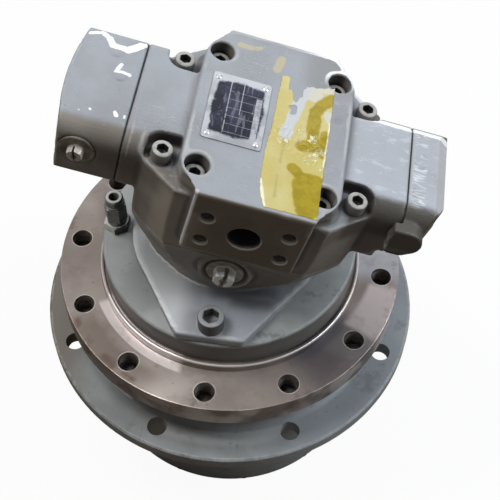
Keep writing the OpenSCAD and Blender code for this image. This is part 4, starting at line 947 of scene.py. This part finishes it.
# Node, body, (head radius, head height, shank radius, length, key), places, direction, finish, frame
for node, body, sizes, places, aim, paint, space in (
        ("head_screws_deep", "gearbox_frame", (6.5, 8, 3.95, 65.8, 6.6), four(DEEP_X, DEEP_Y, 105.8), up_z,
         paint_screw, HEAD),
        ("head_screws_pocket", "gearbox_frame", (6.5, 8, 3.95, 65.0, 6.6), four(POCKET_X, POCKET_Y, 108), up_z,
         paint_screw, HEAD),
        ("flange_screws", "gearbox_frame", (9, 12, 5.9, 28, 10.2), [(0, -80, 36), (0, 80, 36)], up_z,
         paint_flange, None),
        ("end_cover_screws", "drum", (6.5, 5, 3.95, 20, 6.0), circle(12, 98.5, -164.5, 15), down_z,
         paint_screw, None)):
    made = patterned("made_" + node, cap_screw("form", *sizes), places, aim, paint, space)
    hand_over(made, [node], body=body)

# %% [markdown]
# ## Threads
# The tapped holes show their threads. A thread is a small triangle swept along a spiral, made
# once for each size and set in each hole by the same pattern.

# %% Threads in the tapped holes


def thread(name, radius, pitch, turns, depth=0.85, steps=28):
    """A ridge that winds up the wall of a hole, with its root hidden in the wall."""
    work = bmesh.new()
    loops = []
    for i in range(int(turns * steps) + 1):
        angle = math.tau * i / steps
        z = pitch * i / steps
        ease = min(1.0, i / steps * 2, (turns * steps - i) / steps * 2)
        root, half = radius + 0.15, 0.48 * pitch
        loops.append([work.verts.new((r * math.cos(angle) * MM, r * math.sin(angle) * MM, (z + dz) * MM))
                      for r, dz in ((root, -half), (radius - depth * ease, 0.0), (root, half))])
    for low, high in zip(loops, loops[1:]):
        for k in range(3):
            work.faces.new((low[k], low[(k + 1) % 3], high[(k + 1) % 3], high[k]))
    work.faces.new(loops[0])
    work.faces.new(list(reversed(loops[-1])))
    piece = put(work, name)
    piece.data.shade_smooth()
    piece.data.set_sharp_from_angle(angle=math.radians(50))
    return piece


thread_frame = patterned("thread_frame", thread("form", 7.0, 2.0, 7.6), circle(12, HOLE_CIRCLE, -16.2),
                         up_z, steel_thread)
hand_over(thread_frame, [])
for name, side in (("thread_port_a", -1), ("thread_port_b", 1)):
    holes = [(sx * PORT_HOLE_X, side * 51.0, PORT_Z + sz * PORT_HOLE_Z) for sx in (-1, 1) for sz in (-1, 1)]
    made = patterned(name, thread("form", 4.25, 1.5, 10.4, 0.6, 22), holes, (0, side, 0), steel_thread, HEAD)
    hand_over(made, [])

# %% Slotted plugs, the union and the rivets
FRONT = Matrix.Rotation(math.radians(90), 4, "X")


def slotted_plug(node, place, turn, flange, rise, flats, tall, slot, shank, depth, finish):
    """A hexagon plug with a dished flange. Its slot runs across the hexagon."""
    top = rise + tall
    piece = rings("made_" + node, [
        (-depth, shank - 0.8), (0.8 - depth, shank), (0, shank), (0, flange - 0.3), (0.3, flange),
        (rise - 0.35, flange), (rise, flange - 0.5), (rise, flange - 1.2), (rise - 0.7, flange - 2.2),
        (rise - 0.8, flats * 0.62), (rise - 0.6, flats * CORNER, flats), (top - 0.7, flats * CORNER, flats),
        (top, flats * 0.50, flats), (top, flats * 0.3, flats)])
    work = bmesh.new()
    bmesh.ops.create_cube(work, size=1.0)
    bmesh.ops.scale(work, vec=Vector((slot, flats * 1.4, tall)) * MM, verts=work.verts)
    bmesh.ops.translate(work, vec=Vector((0, 0, rise + tall * 0.8)) * MM, verts=work.verts)
    cutter = put(work, "cutter")
    cut = piece.modifiers.new("slot", "BOOLEAN")
    cut.operation, cut.solver, cut.object = "DIFFERENCE", "EXACT", cutter
    spot = HEAD @ Matrix.Translation(Vector(place) * MM) @ FRONT @ Matrix.Rotation(math.radians(turn), 4, "Z")
    settle(piece, spot)
    piece.data.set_sharp_from_angle(angle=math.radians(30))
    bpy.data.objects.remove(cutter)
    hand_over(piece, [node], finish)


slotted_plug("housing_plug", (-1.5, -57.5, 34.5), turn=-4, flange=12.5, rise=2.0, flats=13.0, tall=7.0,
             slot=2.2, shank=8.9, depth=10, finish=plug_steel_lit)
slotted_plug("cap_plug", (-111, -40.5, 98), turn=12, flange=11.6, rise=1.5, flats=9.0, tall=5.0,
             slot=1.2, shank=7.9, depth=7, finish=plug_steel)

UNION = Matrix.Translation(Vector((-81.5, -3, 28)) * MM)
for node, turn, rows in (
        ("union_nut", 0, [
            (-10, 3.6), (-10, 4.5), (-9.5, 4.9), (0, 4.9), (0, 8.2), (0.6, 17 * CORNER, 17), (6.2, 17 * CORNER, 17),
            (7, 8.3), (7, 3.6)]),
        ("union_body", -30, [
            (7, 3.0), (7, 7.0), (7.3, 7.2), (10, 7.2), (10, 6.6), (10.6, 14 * CORNER, 14), (25.2, 14 * CORNER, 14),
            (26, 6.6), (26.2, 7.1), (27.2, 7.2), (27.6, 6.7), (32.0, 6.5), (33, 5.6), (33, 3.7), (32.2, 3.2),
            (31, 3.0)])):
    piece = rings("made_" + node, rows, closed=True)
    piece.data.transform(UNION @ Matrix.Rotation(math.radians(turn), 4, "Z"))
    hand_over(piece, [node], fitting_steel)

rivet = rings("form", [(0, 1.15), (0.8, 1.15), (0.8, 2.0), (1.05, 1.95), (1.45, 1.5), (1.66, 0.9), (1.7, 0.6),
                       (1.45, 0.45), (1.45, 0.1)], 24)
places = four(15.2, 23.0, HEAD_TOP, (PLATE_X, PLATE_Y))
rivets = patterned("made_rivets", rivet, places, up_z, rivet_metal, HEAD)
hand_over(rivets, ["nameplate_rivets"])
broken_edges("nameplate", "gearbox_frame", 0.15 * MM, plate_ink, HEAD)

# %% [markdown]
# ## The label
# The label is a real sheet of film, 0.12 mm thick, that lies on the head. It has ragged ends, a
# torn hole and small creases, which catch the light.

# %% A sheet with creases


def ripple(x, y, wave, seed):
    """A smooth field from -1 to 1 with the given wavelength in mm."""
    luck = np.random.default_rng(seed)
    total = np.zeros_like(x)
    for _ in range(7):
        turn, shift, stretch = luck.uniform(0, math.tau), luck.uniform(0, math.tau), luck.uniform(0.7, 1.4)
        total += np.cos((x * math.cos(turn) + y * math.sin(turn)) * math.tau / wave * stretch + shift)
    return total / 4.2


def label_sheet():
    step = 0.55
    xs, ys = np.arange(-3.2, 37.3, step), np.arange(-66.0, 42.4, step)
    x, y = np.meshgrid(xs, ys, indexing="ij")
    x = x + 0.35 * ripple(x, y, 9, 3)
    y = y + 0.35 * ripple(x, y, 11, 4)
    left = np.interp(y, [-65.4, -56, -46.5, -23, -5, 21.6, 38.8], [3.3, -0.2, -1.3, -1.7, -0.1, 0.2, 1.0])
    left = left + 0.3 * ripple(x, y, 5, 5)
    top = np.where(x < 7, 40.5, np.where(x < 17, 30.0 + (x - 9) * 0.4, 35.5 + (x - 17) * 0.28))
    top = top + 0.8 * ripple(x, y, 6, 6)
    hole = (np.hypot(x - 12.5, (y - 31) / 2.6) < 3.3 + 0.8 * ripple(x, y, 5, 7)) | \
           (np.hypot(x - 11.6, (y - 14) / 2.0) < 2.0 + 0.7 * ripple(x, y, 4, 8))
    keep = (x > left) & (x < 36.6) & (y < top) & (y > -65.2 + 0.3 * ripple(x, y, 7, 9)) & ~hole
    creased = np.exp(-((x - 28) ** 2 / 90 + (y + 13) ** 2 / 130)) + 0.12
    creased = creased + np.exp(-((x - 9) ** 2 / 30 + (y + 6) ** 2 / 120))
    ridge = np.maximum(0, 1 - 2.4 * np.abs(ripple(x, y, 7.5, 10)))
    ridge = ridge + 0.6 * np.maximum(0, 1 - 2.8 * np.abs(ripple(x, y, 4.0, 11)))
    height = HEAD_TOP + 0.03 + 0.5 * np.clip(creased, 0, 1) * ridge
    height += np.clip((x - 35.4) / 1.2, 0, 1) * np.clip(np.sin(y / 3.1), 0, 1) * 0.5
    work = bmesh.new()
    verts = {}
    for i in range(len(xs) - 1):
        for j in range(len(ys) - 1):
            corners = ((i, j), (i + 1, j), (i + 1, j + 1), (i, j + 1))
            if all(keep[c] for c in corners):
                for c in corners:
                    if c not in verts:
                        verts[c] = work.verts.new((x[c] * MM, y[c] * MM, height[c] * MM))
                work.faces.new([verts[c] for c in corners])
    piece = put(work, "label")
    thick = piece.modifiers.new("film", "SOLIDIFY")
    thick.thickness, thick.offset = 0.12 * MM, 1.0
    settle(piece, HEAD)
    piece.data.shade_smooth()
    hand_over(piece, [], label_print)


label_sheet()
